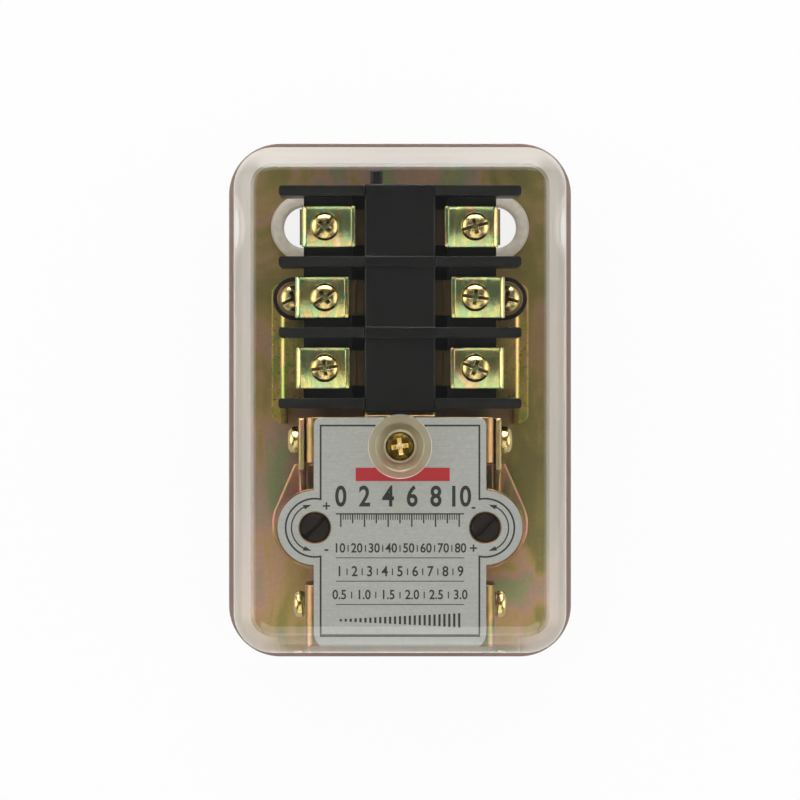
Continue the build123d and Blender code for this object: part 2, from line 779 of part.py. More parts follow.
# Contact block: moulding with four barrier ribs, six terminal pedestals and two mounting ears
with BuildPart() as contact_block:
    with BuildSketch(Plane.XY.offset(web_top)):
        with Locations((0, block_centre_y)):
            Rectangle(2 * block_half_width, block_high_y - block_low_y)
    extrude(amount=pedestal_level - web_level)
    with BuildSketch(Plane.XY.offset(web_top)):
        for side in (-1, 1):
            with Locations((side * mounting_ear_x, block_centre_y)):
                Circle(mounting_ear_radius)
                Rectangle(
                    mounting_ear_x,
                    2 * mounting_ear_radius,
                    align=(Align.MAX if side > 0 else Align.MIN, Align.CENTER),
                )
    extrude(amount=mounting_ear_level - web_level)
    for rib_y in rib_places:
        with BuildSketch(Plane.XY.offset(floor + fin_bottom_level)):
            with Locations((0, rib_y)):
                RectangleRounded(2 * rib_half_length, rib_thickness, rib_thickness * 0.3)
        extrude(amount=rib_level - fin_bottom_level)
    for pole_y in pole_places:
        with BuildSketch(Plane.XY.offset(floor + channel_level)):
            with Locations((0, pole_y)):
                Rectangle(2 * pedestal_inner_x, pole_pitch - rib_thickness)
        extrude(amount=rib_level - channel_level, mode=Mode.SUBTRACT)
    with BuildSketch(Plane.XY.offset(floor + channel_level)):
        with Locations((0, block_centre_y)):
            Rectangle(2 * (cap_half_width + seat_gap), tray_length)
    extrude(amount=rib_level, mode=Mode.SUBTRACT)
    with BuildSketch(Plane.XY.offset(floor + groove_level)):
        with Locations((0, block_centre_y)):
            Rectangle(
                2 * (carrier_half_thickness + clearance),
                block_high_y - block_low_y - 2 * carrier_end_margin + 2 * clearance,
            )
    extrude(amount=rib_level, mode=Mode.SUBTRACT)
    with BuildSketch(Plane.XY.offset(web_top)):
        with Locations((0, block_centre_y)):
            Rectangle(
                2 * (carrier_half_thickness + clearance), carrier_foot_width + 2 * clearance
            )
    extrude(amount=rib_level, mode=Mode.SUBTRACT)
    with BuildSketch(Plane.XY.offset(web_top)):
        with Locations((-mounting_ear_x, block_centre_y), (mounting_ear_x, block_centre_y)):
            Circle(m4_radius + clearance)
    extrude(amount=rib_level, mode=Mode.SUBTRACT)
    with BuildSketch(Plane.XY.offset(floor + mounting_ear_level)):
        with Locations((-mounting_ear_x, block_centre_y), (mounting_ear_x, block_centre_y)):
            Circle(m4_head_radius + 0.9)
    extrude(amount=rib_level, mode=Mode.SUBTRACT)
    with BuildSketch(Plane.XY.offset(floor + pedestal_level)):
        with Locations(*terminal_places):
            Circle(m4_radius + running_gap)
    extrude(amount=-8.6, mode=Mode.SUBTRACT)
save(contact_block.part, "contact_block")

# Chamber cap: hollow cover over the moving contacts, slotted for the fixed contacts
with BuildPart() as chamber_cap:
    cap_low_y = block_low_y - cap_overhang_low
    cap_high_y = block_high_y + cap_overhang_high
    cap_centre_y = (cap_low_y + cap_high_y) / 2
    with BuildSketch(Plane.XY.offset(floor + channel_level)):
        with Locations((0, cap_centre_y)):
            Rectangle(2 * cap_half_width, cap_high_y - cap_low_y)
    extrude(amount=cap_level - channel_level)
    fillet(chamber_cap.faces().sort_by(Axis.Z)[-1].edges(), 0.4)
    with BuildSketch(Plane.XY.offset(floor + cap_level)):
        with Locations((0, rib_places[1]), (0, rib_places[2])):
            Rectangle(2 * cap_half_width, rib_thickness)
    extrude(amount=-1, both=True)
    with BuildSketch(Plane.XY.offset(floor + channel_level)):
        with Locations((0, cap_centre_y)):
            Rectangle(2 * (cap_half_width - cap_wall), cap_high_y - cap_low_y - 2 * cap_wall)
    extrude(amount=cap_level - channel_level - cap_wall, mode=Mode.SUBTRACT)
    for pole_y in pole_places:
        with BuildSketch(Plane.YZ.offset(-cap_half_width)):
            with Locations((pole_y, floor + strip_leaf_level - strip_thickness / 2)):
                Rectangle(strip_width + 2 * clearance, strip_thickness + 2 * clearance)
        extrude(amount=2 * cap_half_width, mode=Mode.SUBTRACT)
    with BuildSketch(Plane.XZ.offset(-cap_high_y)):
        with Locations((-5.3, floor + cap_level - 2.4)):
            RectangleRounded(2.8, 4.0, 0.8)
    extrude(amount=-2.6)
save(chamber_cap.part, "chamber_cap")

# Screws and washers through the block's ears
ear_top = floor + mounting_ear_level
save_group(
    [
        screw(
            Plane(origin=(side * mounting_ear_x, block_centre_y, ear_top + washer_thickness)),
            m4_head_radius,
            m4_head_height,
            [(m4_radius, washer_thickness + mounting_ear_level - web_level + contact_sheet + 1.5)],
        )
        for side in (-1, 1)
    ],
    "block_screws",
)
block_washers = []
for side in (-1, 1):
    with BuildPart() as washer:
        with BuildSketch(Plane.XY.offset(ear_top)):
            with Locations((side * mounting_ear_x, block_centre_y)):
                Circle(m4_head_radius + 0.7)
                Circle(m4_radius + 0.1, mode=Mode.SUBTRACT)
        extrude(amount=washer_thickness)
    block_washers.append(washer.part)
save_group(block_washers, "block_washers")

# Contact carrier: comb with three windows for the bridges and a foot for the rocker
with BuildPart() as contact_carrier:
    with BuildSketch(Plane.XY.offset(floor + carrier_bottom_level)):
        with Locations((0, block_centre_y)):
            Rectangle(
                2 * carrier_half_thickness,
                block_high_y - block_low_y - 2 * carrier_end_margin,
            )
    extrude(amount=carrier_level - carrier_bottom_level)
    with BuildSketch(Plane.XY.offset(floor + carrier_foot_level)):
        with Locations((0, block_centre_y)):
            Rectangle(2 * carrier_half_thickness, carrier_foot_width)
    extrude(amount=carrier_bottom_level - carrier_foot_level)
    for pole_y in pole_places:
        with BuildSketch(Plane.YZ.offset(-carrier_half_thickness)):
            with Locations((pole_y, floor + (window_bottom_level + window_top_level) / 2)):
                Rectangle(window_width, window_top_level - window_bottom_level)
        extrude(amount=2 * carrier_half_thickness, mode=Mode.SUBTRACT)
save(contact_carrier.part, "contact_carrier")

# Moving contacts: copper bridges that close the three poles from below
fixed_tip_bottom = floor + strip_leaf_level - strip_thickness - fixed_tip_thickness
bridge_top = fixed_tip_bottom - contact_gap - bridge_tip_thickness
for number, pole_y in enumerate(pole_places, 1):
    with BuildPart() as bridge:
        with BuildSketch(Plane.XY.offset(bridge_top)):
            with Locations((0, pole_y)):
                Rectangle(2 * bridge_half_length, bridge_width)
        extrude(amount=-bridge_thickness)
        with BuildSketch(Plane.XY.offset(bridge_top)):
            with Locations((-contact_tip_x, pole_y), (contact_tip_x, pole_y)):
                Circle(contact_tip_radius - 0.1)
        extrude(amount=bridge_tip_thickness)
    save(bridge.part, f"moving_contact_{number}")

bridge_bottom = bridge_top - bridge_thickness
save_group(
    [
        coil_spring(
            Plane(origin=(0, pole_y, floor + window_bottom_level + seat_gap)),
            contact_spring_radius,
            contact_spring_wire,
            bridge_bottom - floor - window_bottom_level - 2 * seat_gap,
            4.0,
        )
        for pole_y in pole_places
    ],
    "contact_springs",
)
save_group(
    [
        coil_spring(
            Plane(origin=(0, rib_y, floor + carrier_level + seat_gap)),
            return_spring_radius,
            return_spring_wire,
            cap_level - cap_wall - carrier_level - 2 * seat_gap,
            4.0,
        )
        for rib_y in rib_places[1:3]
    ],
    "return_springs",
)

# Fixed contacts and terminal clamps, one of each for every terminal
drop_inner_x = pedestal_inner_x - seat_gap - strip_thickness
drop_outer_x = block_half_width + seat_gap
for side, line in ((-1, "line"), (1, "load")):
    for number, pole_y in enumerate(pole_places, 1):
        with BuildPart() as fixed_contact:
            with BuildSketch(Plane.XZ.offset(-pole_y)):
                with Locations((side * drop_inner_x, strip_top)):
                    Rectangle(
                        drop_outer_x - drop_inner_x + strip_thickness,
                        strip_thickness,
                        align=(Align.MIN if side > 0 else Align.MAX, Align.MAX),
                    )
                    Rectangle(
                        strip_thickness,
                        strip_top - floor - strip_leaf_level + strip_thickness,
                        align=(Align.MIN if side > 0 else Align.MAX, Align.MAX),
                    )
                with Locations((side * drop_outer_x, strip_top)):
                    Rectangle(
                        strip_thickness,
                        strip_top - fixed_tip_bottom,
                        align=(Align.MIN if side > 0 else Align.MAX, Align.MAX),
                    )
                with Locations((side * strip_inner_x, floor + strip_leaf_level)):
                    Rectangle(
                        drop_inner_x + strip_thickness - strip_inner_x,
                        strip_thickness,
                        align=(Align.MIN if side > 0 else Align.MAX, Align.MAX),
                    )
            extrude(amount=strip_width / 2, both=True)
            outer_bend = fixed_contact.edges().filter_by(Axis.Y).group_by(Axis.Z)[-1]
            fillet(outer_bend.sort_by(Axis.X)[-1 if side > 0 else 0], strip_thickness * 0.9)
            with BuildSketch(Plane.XY.offset(floor + strip_leaf_level - strip_thickness)):
                with Locations((side * contact_tip_x, pole_y)):
                    Circle(contact_tip_radius)
            extrude(amount=-fixed_tip_thickness)
            with BuildSketch(Plane.XY.offset(strip_top)):
                with Locations((side * terminal_x, pole_y)):
                    Circle(m4_radius + running_gap)
            extrude(amount=-strip_thickness, mode=Mode.SUBTRACT)
        save(fixed_contact.part, f"{line}_contact_{number}")

        with BuildPart() as clamp:
            with BuildSketch(Plane.XZ.offset(-pole_y)) as clamp_profile:
                with Locations((side * terminal_x, strip_top)):
                    Rectangle(
                        clamp_length,
                        clamp_lip + clamp_thickness,
                        align=(Align.CENTER, Align.MIN),
                    )
                fillet(clamp_profile.vertices().group_by(Axis.Z)[-1], clamp_thickness)
                with Locations((side * terminal_x, strip_top)):
                    Rectangle(
                        clamp_length - 2 * clamp_thickness,
                        clamp_lip,
                        align=(Align.CENTER, Align.MIN),
                        mode=Mode.SUBTRACT,
                    )
            extrude(amount=clamp_width / 2, both=True)
            with BuildSketch(Plane.XY.offset(clamp_bottom)):
                with Locations((side * terminal_x, pole_y)):
                    Circle(m4_radius + 0.15)
            extrude(amount=clamp_thickness, mode=Mode.SUBTRACT)
        save(clamp.part, f"{line}_clamp_{number}")

save_group(
    [
        screw(
            Plane(origin=(x, y, clamp_top)),
            m4_head_radius,
            m4_head_height,
            [(m4_radius, clamp_top - floor - pedestal_level + terminal_screw_bite)],
        )
        for x, y in terminal_places
    ],
    "terminal_screws",
)

# Clear cover: drafted box with a large front edge radius and a boss for its one screw
foot_width = tray_width - 2 * (tray_sheet + cover_gap)
foot_length = tray_length - 2 * (tray_sheet + cover_end_gap)
foot_radius = tray_corner - tray_sheet - cover_gap
with BuildPart() as cover_cavity:
    with BuildSketch(Plane.XY.offset(floor)):
        with Locations((0, tray_centre_y)):
            RectangleRounded(
                foot_width - 2 * cover_wall, foot_length - 2 * cover_wall, foot_radius - cover_wall
            )
    extrude(amount=cover_height - cover_front, taper=cover_draft)
    fillet(cover_cavity.faces().sort_by(Axis.Z)[-1].edges(), cover_inner_radius)
with BuildPart() as cover:
    with BuildSketch(Plane.XY.offset(floor)):
        with Locations((0, tray_centre_y)):
            RectangleRounded(foot_width, foot_length, foot_radius)
    extrude(amount=cover_height, taper=cover_draft)
    fillet(cover.faces().sort_by(Axis.Z)[-1].edges(), cover_edge_radius)
    add(cover_cavity.part, mode=Mode.SUBTRACT)
    front_inner = floor + cover_height - cover_front
    boss_bottom = nameplate_top + 2 * seat_gap
    with BuildSketch(Plane.XY.offset(front_inner)):
        with Locations((0, cover_screw_y)):
            Circle(boss_top_radius)
    extrude(amount=boss_bottom - front_inner, taper=boss_draft)
    head_seat = boss_bottom + boss_floor
    with BuildSketch(Plane.XY.offset(floor + cover_height)):
        with Locations((0, cover_screw_y)):
            Circle(recess_top_radius)
    with BuildSketch(Plane.XY.offset(head_seat)):
        with Locations((0, cover_screw_y)):
            Circle(recess_bottom_radius)
    loft(mode=Mode.SUBTRACT)
    with BuildSketch(Plane.XY.offset(boss_bottom)):
        with Locations((0, cover_screw_y)):
            Circle(m4_radius + clearance)
    extrude(amount=boss_floor, mode=Mode.SUBTRACT)
save(cover.part, "cover")

# Cover screw and the nut that holds it under the yoke
cover_nut_bottom = yoke_top - bracket_sheet - m4_nut_height
save(
    screw(
        Plane(origin=(0, cover_screw_y, head_seat + seat_gap)),
        m4_head_radius,
        m4_head_height,
        [(m4_radius, head_seat + seat_gap - cover_nut_bottom + 1.0)],
        slotted=False,
    ),
    "cover_screw",
)
with BuildPart() as cover_nut:
    with BuildSketch(Plane.XY.offset(cover_nut_bottom)):
        with Locations((0, cover_screw_y)):
            RegularPolygon(m4_nut_across_flats / 2, 6, major_radius=False)
            Circle(m4_radius + running_gap, mode=Mode.SUBTRACT)
    extrude(amount=m4_nut_height)
save(cover_nut.part, "cover_nut")
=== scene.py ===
import math

import bmesh
import bpy
from mathutils import Matrix, Vector


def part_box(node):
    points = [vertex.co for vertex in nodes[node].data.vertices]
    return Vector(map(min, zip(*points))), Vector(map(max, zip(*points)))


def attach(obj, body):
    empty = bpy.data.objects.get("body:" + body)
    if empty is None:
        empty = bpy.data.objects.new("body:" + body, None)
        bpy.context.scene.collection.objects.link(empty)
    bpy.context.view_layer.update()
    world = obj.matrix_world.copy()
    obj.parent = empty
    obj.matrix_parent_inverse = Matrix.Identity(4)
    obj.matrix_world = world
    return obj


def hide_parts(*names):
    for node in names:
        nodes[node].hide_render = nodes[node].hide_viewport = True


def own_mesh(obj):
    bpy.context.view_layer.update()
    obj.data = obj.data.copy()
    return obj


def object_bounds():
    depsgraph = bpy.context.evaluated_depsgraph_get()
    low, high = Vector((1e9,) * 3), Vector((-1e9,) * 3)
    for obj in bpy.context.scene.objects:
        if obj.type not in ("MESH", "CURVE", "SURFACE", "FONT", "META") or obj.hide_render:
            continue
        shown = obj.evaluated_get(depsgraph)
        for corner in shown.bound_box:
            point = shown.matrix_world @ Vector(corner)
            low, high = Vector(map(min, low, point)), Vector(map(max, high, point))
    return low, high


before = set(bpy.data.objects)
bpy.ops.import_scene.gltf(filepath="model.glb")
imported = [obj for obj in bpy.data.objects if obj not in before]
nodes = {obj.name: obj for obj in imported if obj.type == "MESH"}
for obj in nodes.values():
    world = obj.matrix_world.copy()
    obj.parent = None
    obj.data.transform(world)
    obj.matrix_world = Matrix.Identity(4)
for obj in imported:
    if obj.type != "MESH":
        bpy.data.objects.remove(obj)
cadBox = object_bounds()
mm = 0.001
print("frame loaded:", len(nodes), "nodes")


def hexToLinear(text):
    parts = [int(text[i:i + 2], 16) / 255 for i in (0, 2, 4)]
    return tuple(p / 12.92 if p <= 0.04045 else ((p + 0.055) / 1.055) ** 2.4 for p in parts) + (1.0,)


def addNode(tree, kind, settings=None, links=None):
    # a link comes from a socket, or from a node's first output
    node = tree.nodes.new(kind)
    for key, value in (settings or {}).items():
        if key == "stops":  # colour stops of a ramp: (place, hex)
            ramp = node.color_ramp
            while len(ramp.elements) < len(value):
                ramp.elements.new(0.5)
            for element, (place, colour) in zip(ramp.elements, value):
                element.position, element.color = place, hexToLinear(colour)
        elif isinstance(key, int) or key[0].isupper():
            node.inputs[key].default_value = value
        else:
            setattr(node, key, value)
    for key, source in (links or {}).items():
        tree.links.new(getattr(source, "outputs", [source])[0], node.inputs[key])
    return node


def startMaterial(name, settings):
    material = bpy.data.materials.new(name)
    material.use_nodes = True
    tree = material.node_tree
    tree.nodes.clear()
    shader = addNode(tree, "ShaderNodeBsdfPrincipled", settings)
    addNode(tree, "ShaderNodeOutputMaterial", links={"Surface": shader})
    coords = addNode(tree, "ShaderNodeTexCoord").outputs["Object"]
    return material, tree, shader, coords


def addSkin(tree, shader, mottle, roughness, spread, edge, relief):
    # the surface over a mottle: its gloss varies by spread below and above roughness, its edges are
    # softened by edge millimetres, and relief is the bump's strength and height in millimetres
    rough = addNode(tree, "ShaderNodeMapRange", {
        "To Min": roughness - spread[0], "To Max": roughness + spread[1]}, {"Value": mottle})
    softEdge = addNode(tree, "ShaderNodeBevel", {"samples": 4, "Radius": edge * mm})
    bump = addNode(tree, "ShaderNodeBump", {"Strength": relief[0], "Distance": relief[1] * mm},
                   {"Height": mottle, "Normal": softEdge})
    tree.links.new(rough.outputs[0], shader.inputs["Roughness"])
    tree.links.new(bump.outputs[0], shader.inputs["Normal"])


def rayIs(tree, *kinds):
    # 1 for a ray of one of the kinds, else 0
    rays = addNode(tree, "ShaderNodeLightPath")
    found = rays.outputs[f"Is {kinds[0]} Ray"]
    for kind in kinds[1:]:
        found = addNode(tree, "ShaderNodeMath", {"operation": "MAXIMUM"},
                        {0: found, 1: rays.outputs[f"Is {kind} Ray"]}).outputs[0]
    return found


def boxOf(node):
    low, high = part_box(node)
    return low, high, (low + high) / 2


def finishMesh(name, bm, materials, sharpDegrees, body="housing"):
    bmesh.ops.remove_doubles(bm, verts=bm.verts, dist=1e-7)
    bmesh.ops.recalc_face_normals(bm, faces=bm.faces)
    mesh = bpy.data.meshes.new(name)
    bm.to_mesh(mesh)
    bm.free()
    piece = bpy.data.objects.new(name, mesh)
    bpy.context.scene.collection.objects.link(piece)
    for material in materials:
        mesh.materials.append(material)
    markSharp(mesh, sharpDegrees)
    level = piece.modifiers.new("weighted normals", "WEIGHTED_NORMAL")
    level.keep_sharp, level.weight = True, 80
    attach(piece, body)
    return piece


def markSharp(mesh, degrees):
    bm = bmesh.new()
    bm.from_mesh(mesh)
    for face in bm.faces:
        face.smooth = True
    for edge in bm.edges:
        if len(edge.link_faces) == 2:
            edge.smooth = edge.calc_face_angle(0) < math.radians(degrees)
    bm.to_mesh(mesh)
    bm.free()


def ring(bm, radius, z, steps, centre=(0, 0)):
    verts = []
    for i in range(steps):
        a = 2 * math.pi * i / steps
        x, y = centre[0] + radius * math.cos(a), centre[1] + radius * math.sin(a)
        verts.append(bm.verts.new((x * mm, y * mm, z * mm)))
    return verts


def roundedRing(bm, halfX, halfY, radius, z, centre, cornerSteps=14):
    verts = []
    for quarter in range(4):
        turn = quarter * math.pi / 2
        signX, signY = [(1, 1), (-1, 1), (-1, -1), (1, -1)][quarter]
        cx, cy = centre[0] + signX * (halfX - radius), centre[1] + signY * (halfY - radius)
        for i in range(cornerSteps + 1):
            a = turn + math.pi / 2 * i / cornerSteps
            x, y = cx + radius * math.cos(a), cy + radius * math.sin(a)
            verts.append(bm.verts.new((x * mm, y * mm, z * mm)))
    return verts


def bridge(bm, first, second, slotIndex=0):
    count = len(first)
    for i in range(count):
        j = (i + 1) % count
        bm.faces.new((first[i], first[j], second[j], second[i])).material_index = slotIndex


def skin(bm, rings, slotIndex=0):
    for first, second in zip(rings, rings[1:]):
        bridge(bm, first, second, slotIndex)


def fillBetween(bm, *loops):
    edges = []
    for loop in loops:
        for i, vert in enumerate(loop):
            other = loop[(i + 1) % len(loop)]
            edges.append(bm.edges.get((vert, other)) or bm.edges.new((vert, other)))
    bmesh.ops.triangle_fill(bm, use_beauty=True, edges=edges)


def closeEnds(bm, rings):
    bm.faces.new(rings[0])
    bm.faces.new(list(reversed(rings[-1])))


def tubeAlong(bm, points, radius, sides):
    points = [Vector(p) for p in points]
    rings, side = [], None
    for i, point in enumerate(points):
        ahead = points[min(i + 1, len(points) - 1)] - points[max(i - 1, 0)]
        ahead.normalize()
        if side is None:
            side = ahead.orthogonal().normalized()
        side = (side - ahead * side.dot(ahead)).normalized()
        up = ahead.cross(side)
        rings.append([
            bm.verts.new((point + radius * (side * math.cos(a) + up * math.sin(a))) * mm)
            for a in (2 * math.pi * k / sides for k in range(sides))
        ])
    skin(bm, rings)
    closeEnds(bm, rings)


def stripAlong(bm, points, width, z, closed=False, slotIndex=0):
    points = [Vector((p[0], p[1])) for p in points]
    count = len(points)
    sides = []
    for i, point in enumerate(points):
        before = points[(i - 1) % count] if closed or i else point
        after = points[(i + 1) % count] if closed or i < count - 1 else point
        first, second = point - before, after - point
        first = (first if first.length else second).normalized()
        second = (second if second.length else first).normalized()
        normal = Vector((-(first + second).y, (first + second).x)).normalized()
        reach = width / 2 / max(0.4, abs(normal.dot(Vector((-first.y, first.x)))))
        sides.append([
            bm.verts.new(((point + normal * reach * s).x * mm, (point + normal * reach * s).y * mm, z * mm))
            for s in (-1, 1)
        ])
    for i in range(count if closed else count - 1):
        a, b = sides[i], sides[(i + 1) % count]
        bm.faces.new((a[0], b[0], b[1], a[1])).material_index = slotIndex


def arcPoints(centre, radius, startDegrees, endDegrees, steps=24):
    points = []
    for i in range(steps + 1):
        a = math.radians(startDegrees + (endDegrees - startDegrees) * i / steps)
        points.append((centre[0] + radius * math.cos(a), centre[1] + radius * math.sin(a)))
    return points


def dress(material, *names):
    for name in names:
        mesh = nodes[name].data
        mesh.materials.clear()
        mesh.materials.append(material)


# yellow-passivated zinc on pressed sheet: a satin metal whose thin chromate film drifts from olive gold
# through pink to green in broad soft patches
chromateStops = [
    (0.00, "6f6740"), (0.18, "7b7042"), (0.34, "8e7850"), (0.46, "95775f"), (0.56, "8d7567"),
    (0.66, "7f7959"), (0.78, "757b59"), (0.90, "817b54"), (1.00, "917b56"),
]


def makeChromate(name, stops, roughness, patch, grain, edge, gain=1.0, paintedLightRun=None, rim=None):
    # patch and grain are in millimetres: the width of one colour patch and of the surface's fine mottle;
    # the gains along y, (y, gain, y, gain) in millimetres, are painted light: the film is made paler towards
    # the end where more light falls;
    # rim is (z, z, colour): above it the film is rubbed down to a browner tone
    material, tree, shader, coords = startMaterial(name, {"Metallic": 1.0, "Roughness": roughness})
    stretched = addNode(tree, "ShaderNodeMapping", {"Scale": (1.0, 0.45, 1.0)}, {"Vector": coords})
    drift = addNode(tree, "ShaderNodeTexNoise", {
        "Scale": 1000 / patch, "Detail": 3.0, "Roughness": 0.55, "Distortion": 1.4}, {"Vector": stretched})
    spread = addNode(tree, "ShaderNodeMapRange", {"From Min": 0.32, "From Max": 0.68}, {"Value": drift})
    film = addNode(tree, "ShaderNodeValToRGB", {"stops": stops}, {"Fac": spread})
    mottle = addNode(tree, "ShaderNodeTexNoise",
                     {"Scale": 1000 / grain, "Detail": 4.0, "Roughness": 0.6}, {"Vector": coords})
    level = addNode(tree, "ShaderNodeMapRange",
                    {"To Min": 0.78 * gain, "To Max": 1.12 * gain}, {"Value": mottle})
    if paintedLightRun or rim:
        place = addNode(tree, "ShaderNodeSeparateXYZ", links={0: coords})
    if paintedLightRun:
        # painted light: the film's brightness is raised towards the end where more light falls
        paintedLightLevel = addNode(tree, "ShaderNodeMapRange", {
            "From Min": paintedLightRun[0] * mm, "To Min": paintedLightRun[1], "From Max": paintedLightRun[2] * mm, "To Max": paintedLightRun[3],
            "interpolation_type": "SMOOTHSTEP"}, {"Value": place.outputs["Y"]})
        level = addNode(tree, "ShaderNodeMath", {"operation": "MULTIPLY"}, {0: level, 1: paintedLightLevel})
    colour = addNode(tree, "ShaderNodeVectorMath",
                     {"operation": "SCALE"}, {0: film, "Scale": level}).outputs[0]
    if rim:
        above = addNode(tree, "ShaderNodeMapRange", {
            "From Min": rim[0] * mm, "From Max": rim[1] * mm}, {"Value": place.outputs["Z"]})
        colour = addNode(tree, "ShaderNodeMix", {"data_type": "RGBA", 7: hexToLinear(rim[2])},
                         {0: above, 6: colour}).outputs[2]
    tree.links.new(colour, shader.inputs["Base Color"])
    addSkin(tree, shader, mottle, roughness, spread=(0.07, 0.09), edge=edge, relief=(0.05, 0.04))
    return material


# painted light: the tray is painted up to 1.8 times paler towards its -y end, where more light falls
trayMetal = makeChromate(
    "yellow chromated pressed steel", chromateStops, roughness=0.42, patch=22.0, grain=0.7, edge=0.25,
    paintedLightRun=(-25, 1.8, 45, 0.92), rim=(28.5, 30.2, "8a7870"))

# the contact bracket was plated in a fresher bath: gold and green
bracketMetal = makeChromate("yellow chromated folded bracket", [
    (0.0, "8e8246"), (0.3, "a89850"), (0.45, "b08c60"), (0.6, "98904a"), (0.8, "7e8a48"),
    (1.0, "a89450")], roughness=0.28, patch=6.0, grain=0.8, edge=0.5, gain=1.1)

# the same finish on small stamped clamps: brighter, greener, nearly mirror smooth
clampMetal = makeChromate("yellow chromated clamp steel", [
    (0.0, "b9b070"), (0.25, "c9c07c"), (0.45, "a9b878"), (0.6, "9cb488"), (0.75, "b3a96a"),
    (0.9, "c8a878"), (1.0, "bfb68a")], roughness=0.2, patch=7.0, grain=0.9, edge=0.18)

# screws: a thicker film that looks gilded, warm and shiny
screwMetal = makeChromate("yellow chromated screw steel", [
    (0.0, "b9a468"), (0.3, "c9b57c"), (0.5, "bda26a"), (0.7, "a9a06a"), (1.0, "d8c690")],
    roughness=0.2, patch=3.0, grain=0.5, edge=0.12)

# the same film deep in a driver recess, painted dark as the shade that falls there
shadedRecessMetal = makeChromate("chromate painted dark as shade in a driver recess", [
    (0.0, "4a3c1e"), (0.5, "5e4d28"), (1.0, "3c3118")], roughness=0.5, patch=2.0, grain=0.4, edge=0.1)

# the cover screw: its head painted dark as the dark ceiling it reflects, its recess painted bright as the
# highlights its edges catch
darkReflectionScrewMetal = makeChromate("chromate painted dark as reflected shade on a screw head", [
    (0.0, "3f3417"), (0.35, "544620"), (0.6, "352d16"), (1.0, "6b5a2a")],
    roughness=0.36, patch=2.0, grain=0.4, edge=0.1)
paintedHighlightRecess = makeChromate("recess steel painted bright as a highlight", [
    (0.0, "e6cf90"), (0.5, "f3e2ae"), (1.0, "d9bd77")], roughness=0.3, patch=2.0, grain=0.4, edge=0.1)

# the bent yoke, the support bracket and the rocker: a thinner film, gold brown with a breath of pink
zincSheet = makeChromate("thin chromated bent sheet", [
    (0.0, "8f7a4c"), (0.25, "a3824e"), (0.45, "b08862"), (0.6, "9c825a"), (0.8, "848850"),
    (1.0, "a3824e")], roughness=0.32, patch=9.0, grain=0.8, edge=0.3, gain=0.74)

# the cold rolled lever plate under the same film: warm, from gold to pink
leverMetal = makeChromate("passivated cold rolled lever plate", [
    (0.0, "a38658"), (0.3, "b0905f"), (0.5, "bd8078"), (0.7, "98905e"), (1.0, "b89a68")],
    roughness=0.3, patch=8.0, grain=0.8, edge=0.9, gain=1.05)


def makeBareMetal(name, colour, roughness, grain, edge, spread=0.12):
    # drawn, turned, cast or oxidised metal: even, with a fine grain in its brightness; grain and edge are
    # in millimetres
    material, tree, shader, coords = startMaterial(name, {
        "Base Color": hexToLinear(colour), "Metallic": 1.0, "Roughness": roughness})
    mottle = addNode(tree, "ShaderNodeTexNoise",
                     {"Scale": 1000 / grain, "Detail": 4.0, "Roughness": 0.6}, {"Vector": coords})
    level = addNode(tree, "ShaderNodeMapRange",
                    {"To Min": 1 - spread, "To Max": 1 + spread}, {"Value": mottle})
    tint = addNode(tree, "ShaderNodeVectorMath",
                   {"operation": "SCALE", 0: hexToLinear(colour)[:3]}, {"Scale": level})
    tree.links.new(tint.outputs[0], shader.inputs["Base Color"])
    addSkin(tree, shader, mottle, roughness, spread=(0.06, 0.08), edge=edge, relief=(0.12, 0.04))
    return material


springWire = makeBareMetal("drawn spring wire", "8d8f93", roughness=0.28, grain=0.4, edge=0.1)
blackOxide = makeBareMetal("black oxide turned steel", "332e2b", roughness=0.36, grain=0.6, edge=0.5)
# painted shade: the contact brass is painted dark as the shade that falls on the contacts under the clamps
# and the cap wall
shadedContactBrass = makeBareMetal("rolled contact brass", "4c3e28", roughness=0.36, grain=0.8, edge=0.15)
zincFastener = makeBareMetal("bright zinc fastener steel", "b4b3ad", roughness=0.3, grain=0.7, edge=0.15)
dieCasting = makeBareMetal("as cast aluminium", "9a9b9c", roughness=0.48, grain=1.1, edge=0.4, spread=0.1)


def makeMoulding(name, colour, roughness, grain, edge, gloss):
    # a black moulded compound: matt with a faint mineral speckle and a soft sheen on its edges
    material, tree, shader, coords = startMaterial(name, {
        "Base Color": hexToLinear(colour), "Roughness": roughness, "IOR": 1.52, "Specular IOR Level": gloss})
    speckle = addNode(tree, "ShaderNodeTexNoise",
                      {"Scale": 1000 / grain, "Detail": 2.0, "Roughness": 0.5}, {"Vector": coords})
    level = addNode(tree, "ShaderNodeMapRange", {"To Min": 0.85, "To Max": 1.25}, {"Value": speckle})
    tint = addNode(tree, "ShaderNodeVectorMath",
                   {"operation": "SCALE", 0: hexToLinear(colour)[:3]}, {"Scale": level})
    tree.links.new(tint.outputs[0], shader.inputs["Base Color"])
    addSkin(tree, shader, speckle, roughness, spread=(0.03, 0.05), edge=edge, relief=(0.08, 0.02))
    return material


phenolic = makeMoulding(
    "black phenolic moulding", "0b0c0a", roughness=0.44, grain=2.5, edge=0.2, gloss=0.2)
capPhenolic = makeMoulding(
    "black phenolic cap moulding", "090a09", roughness=0.36, grain=3.0, edge=0.25, gloss=0.2)
diaphragmRubber = makeMoulding(
    "black nitrile rubber sheet", "1c1b1a", roughness=0.7, grain=0.4, edge=0.15, gloss=0.3)


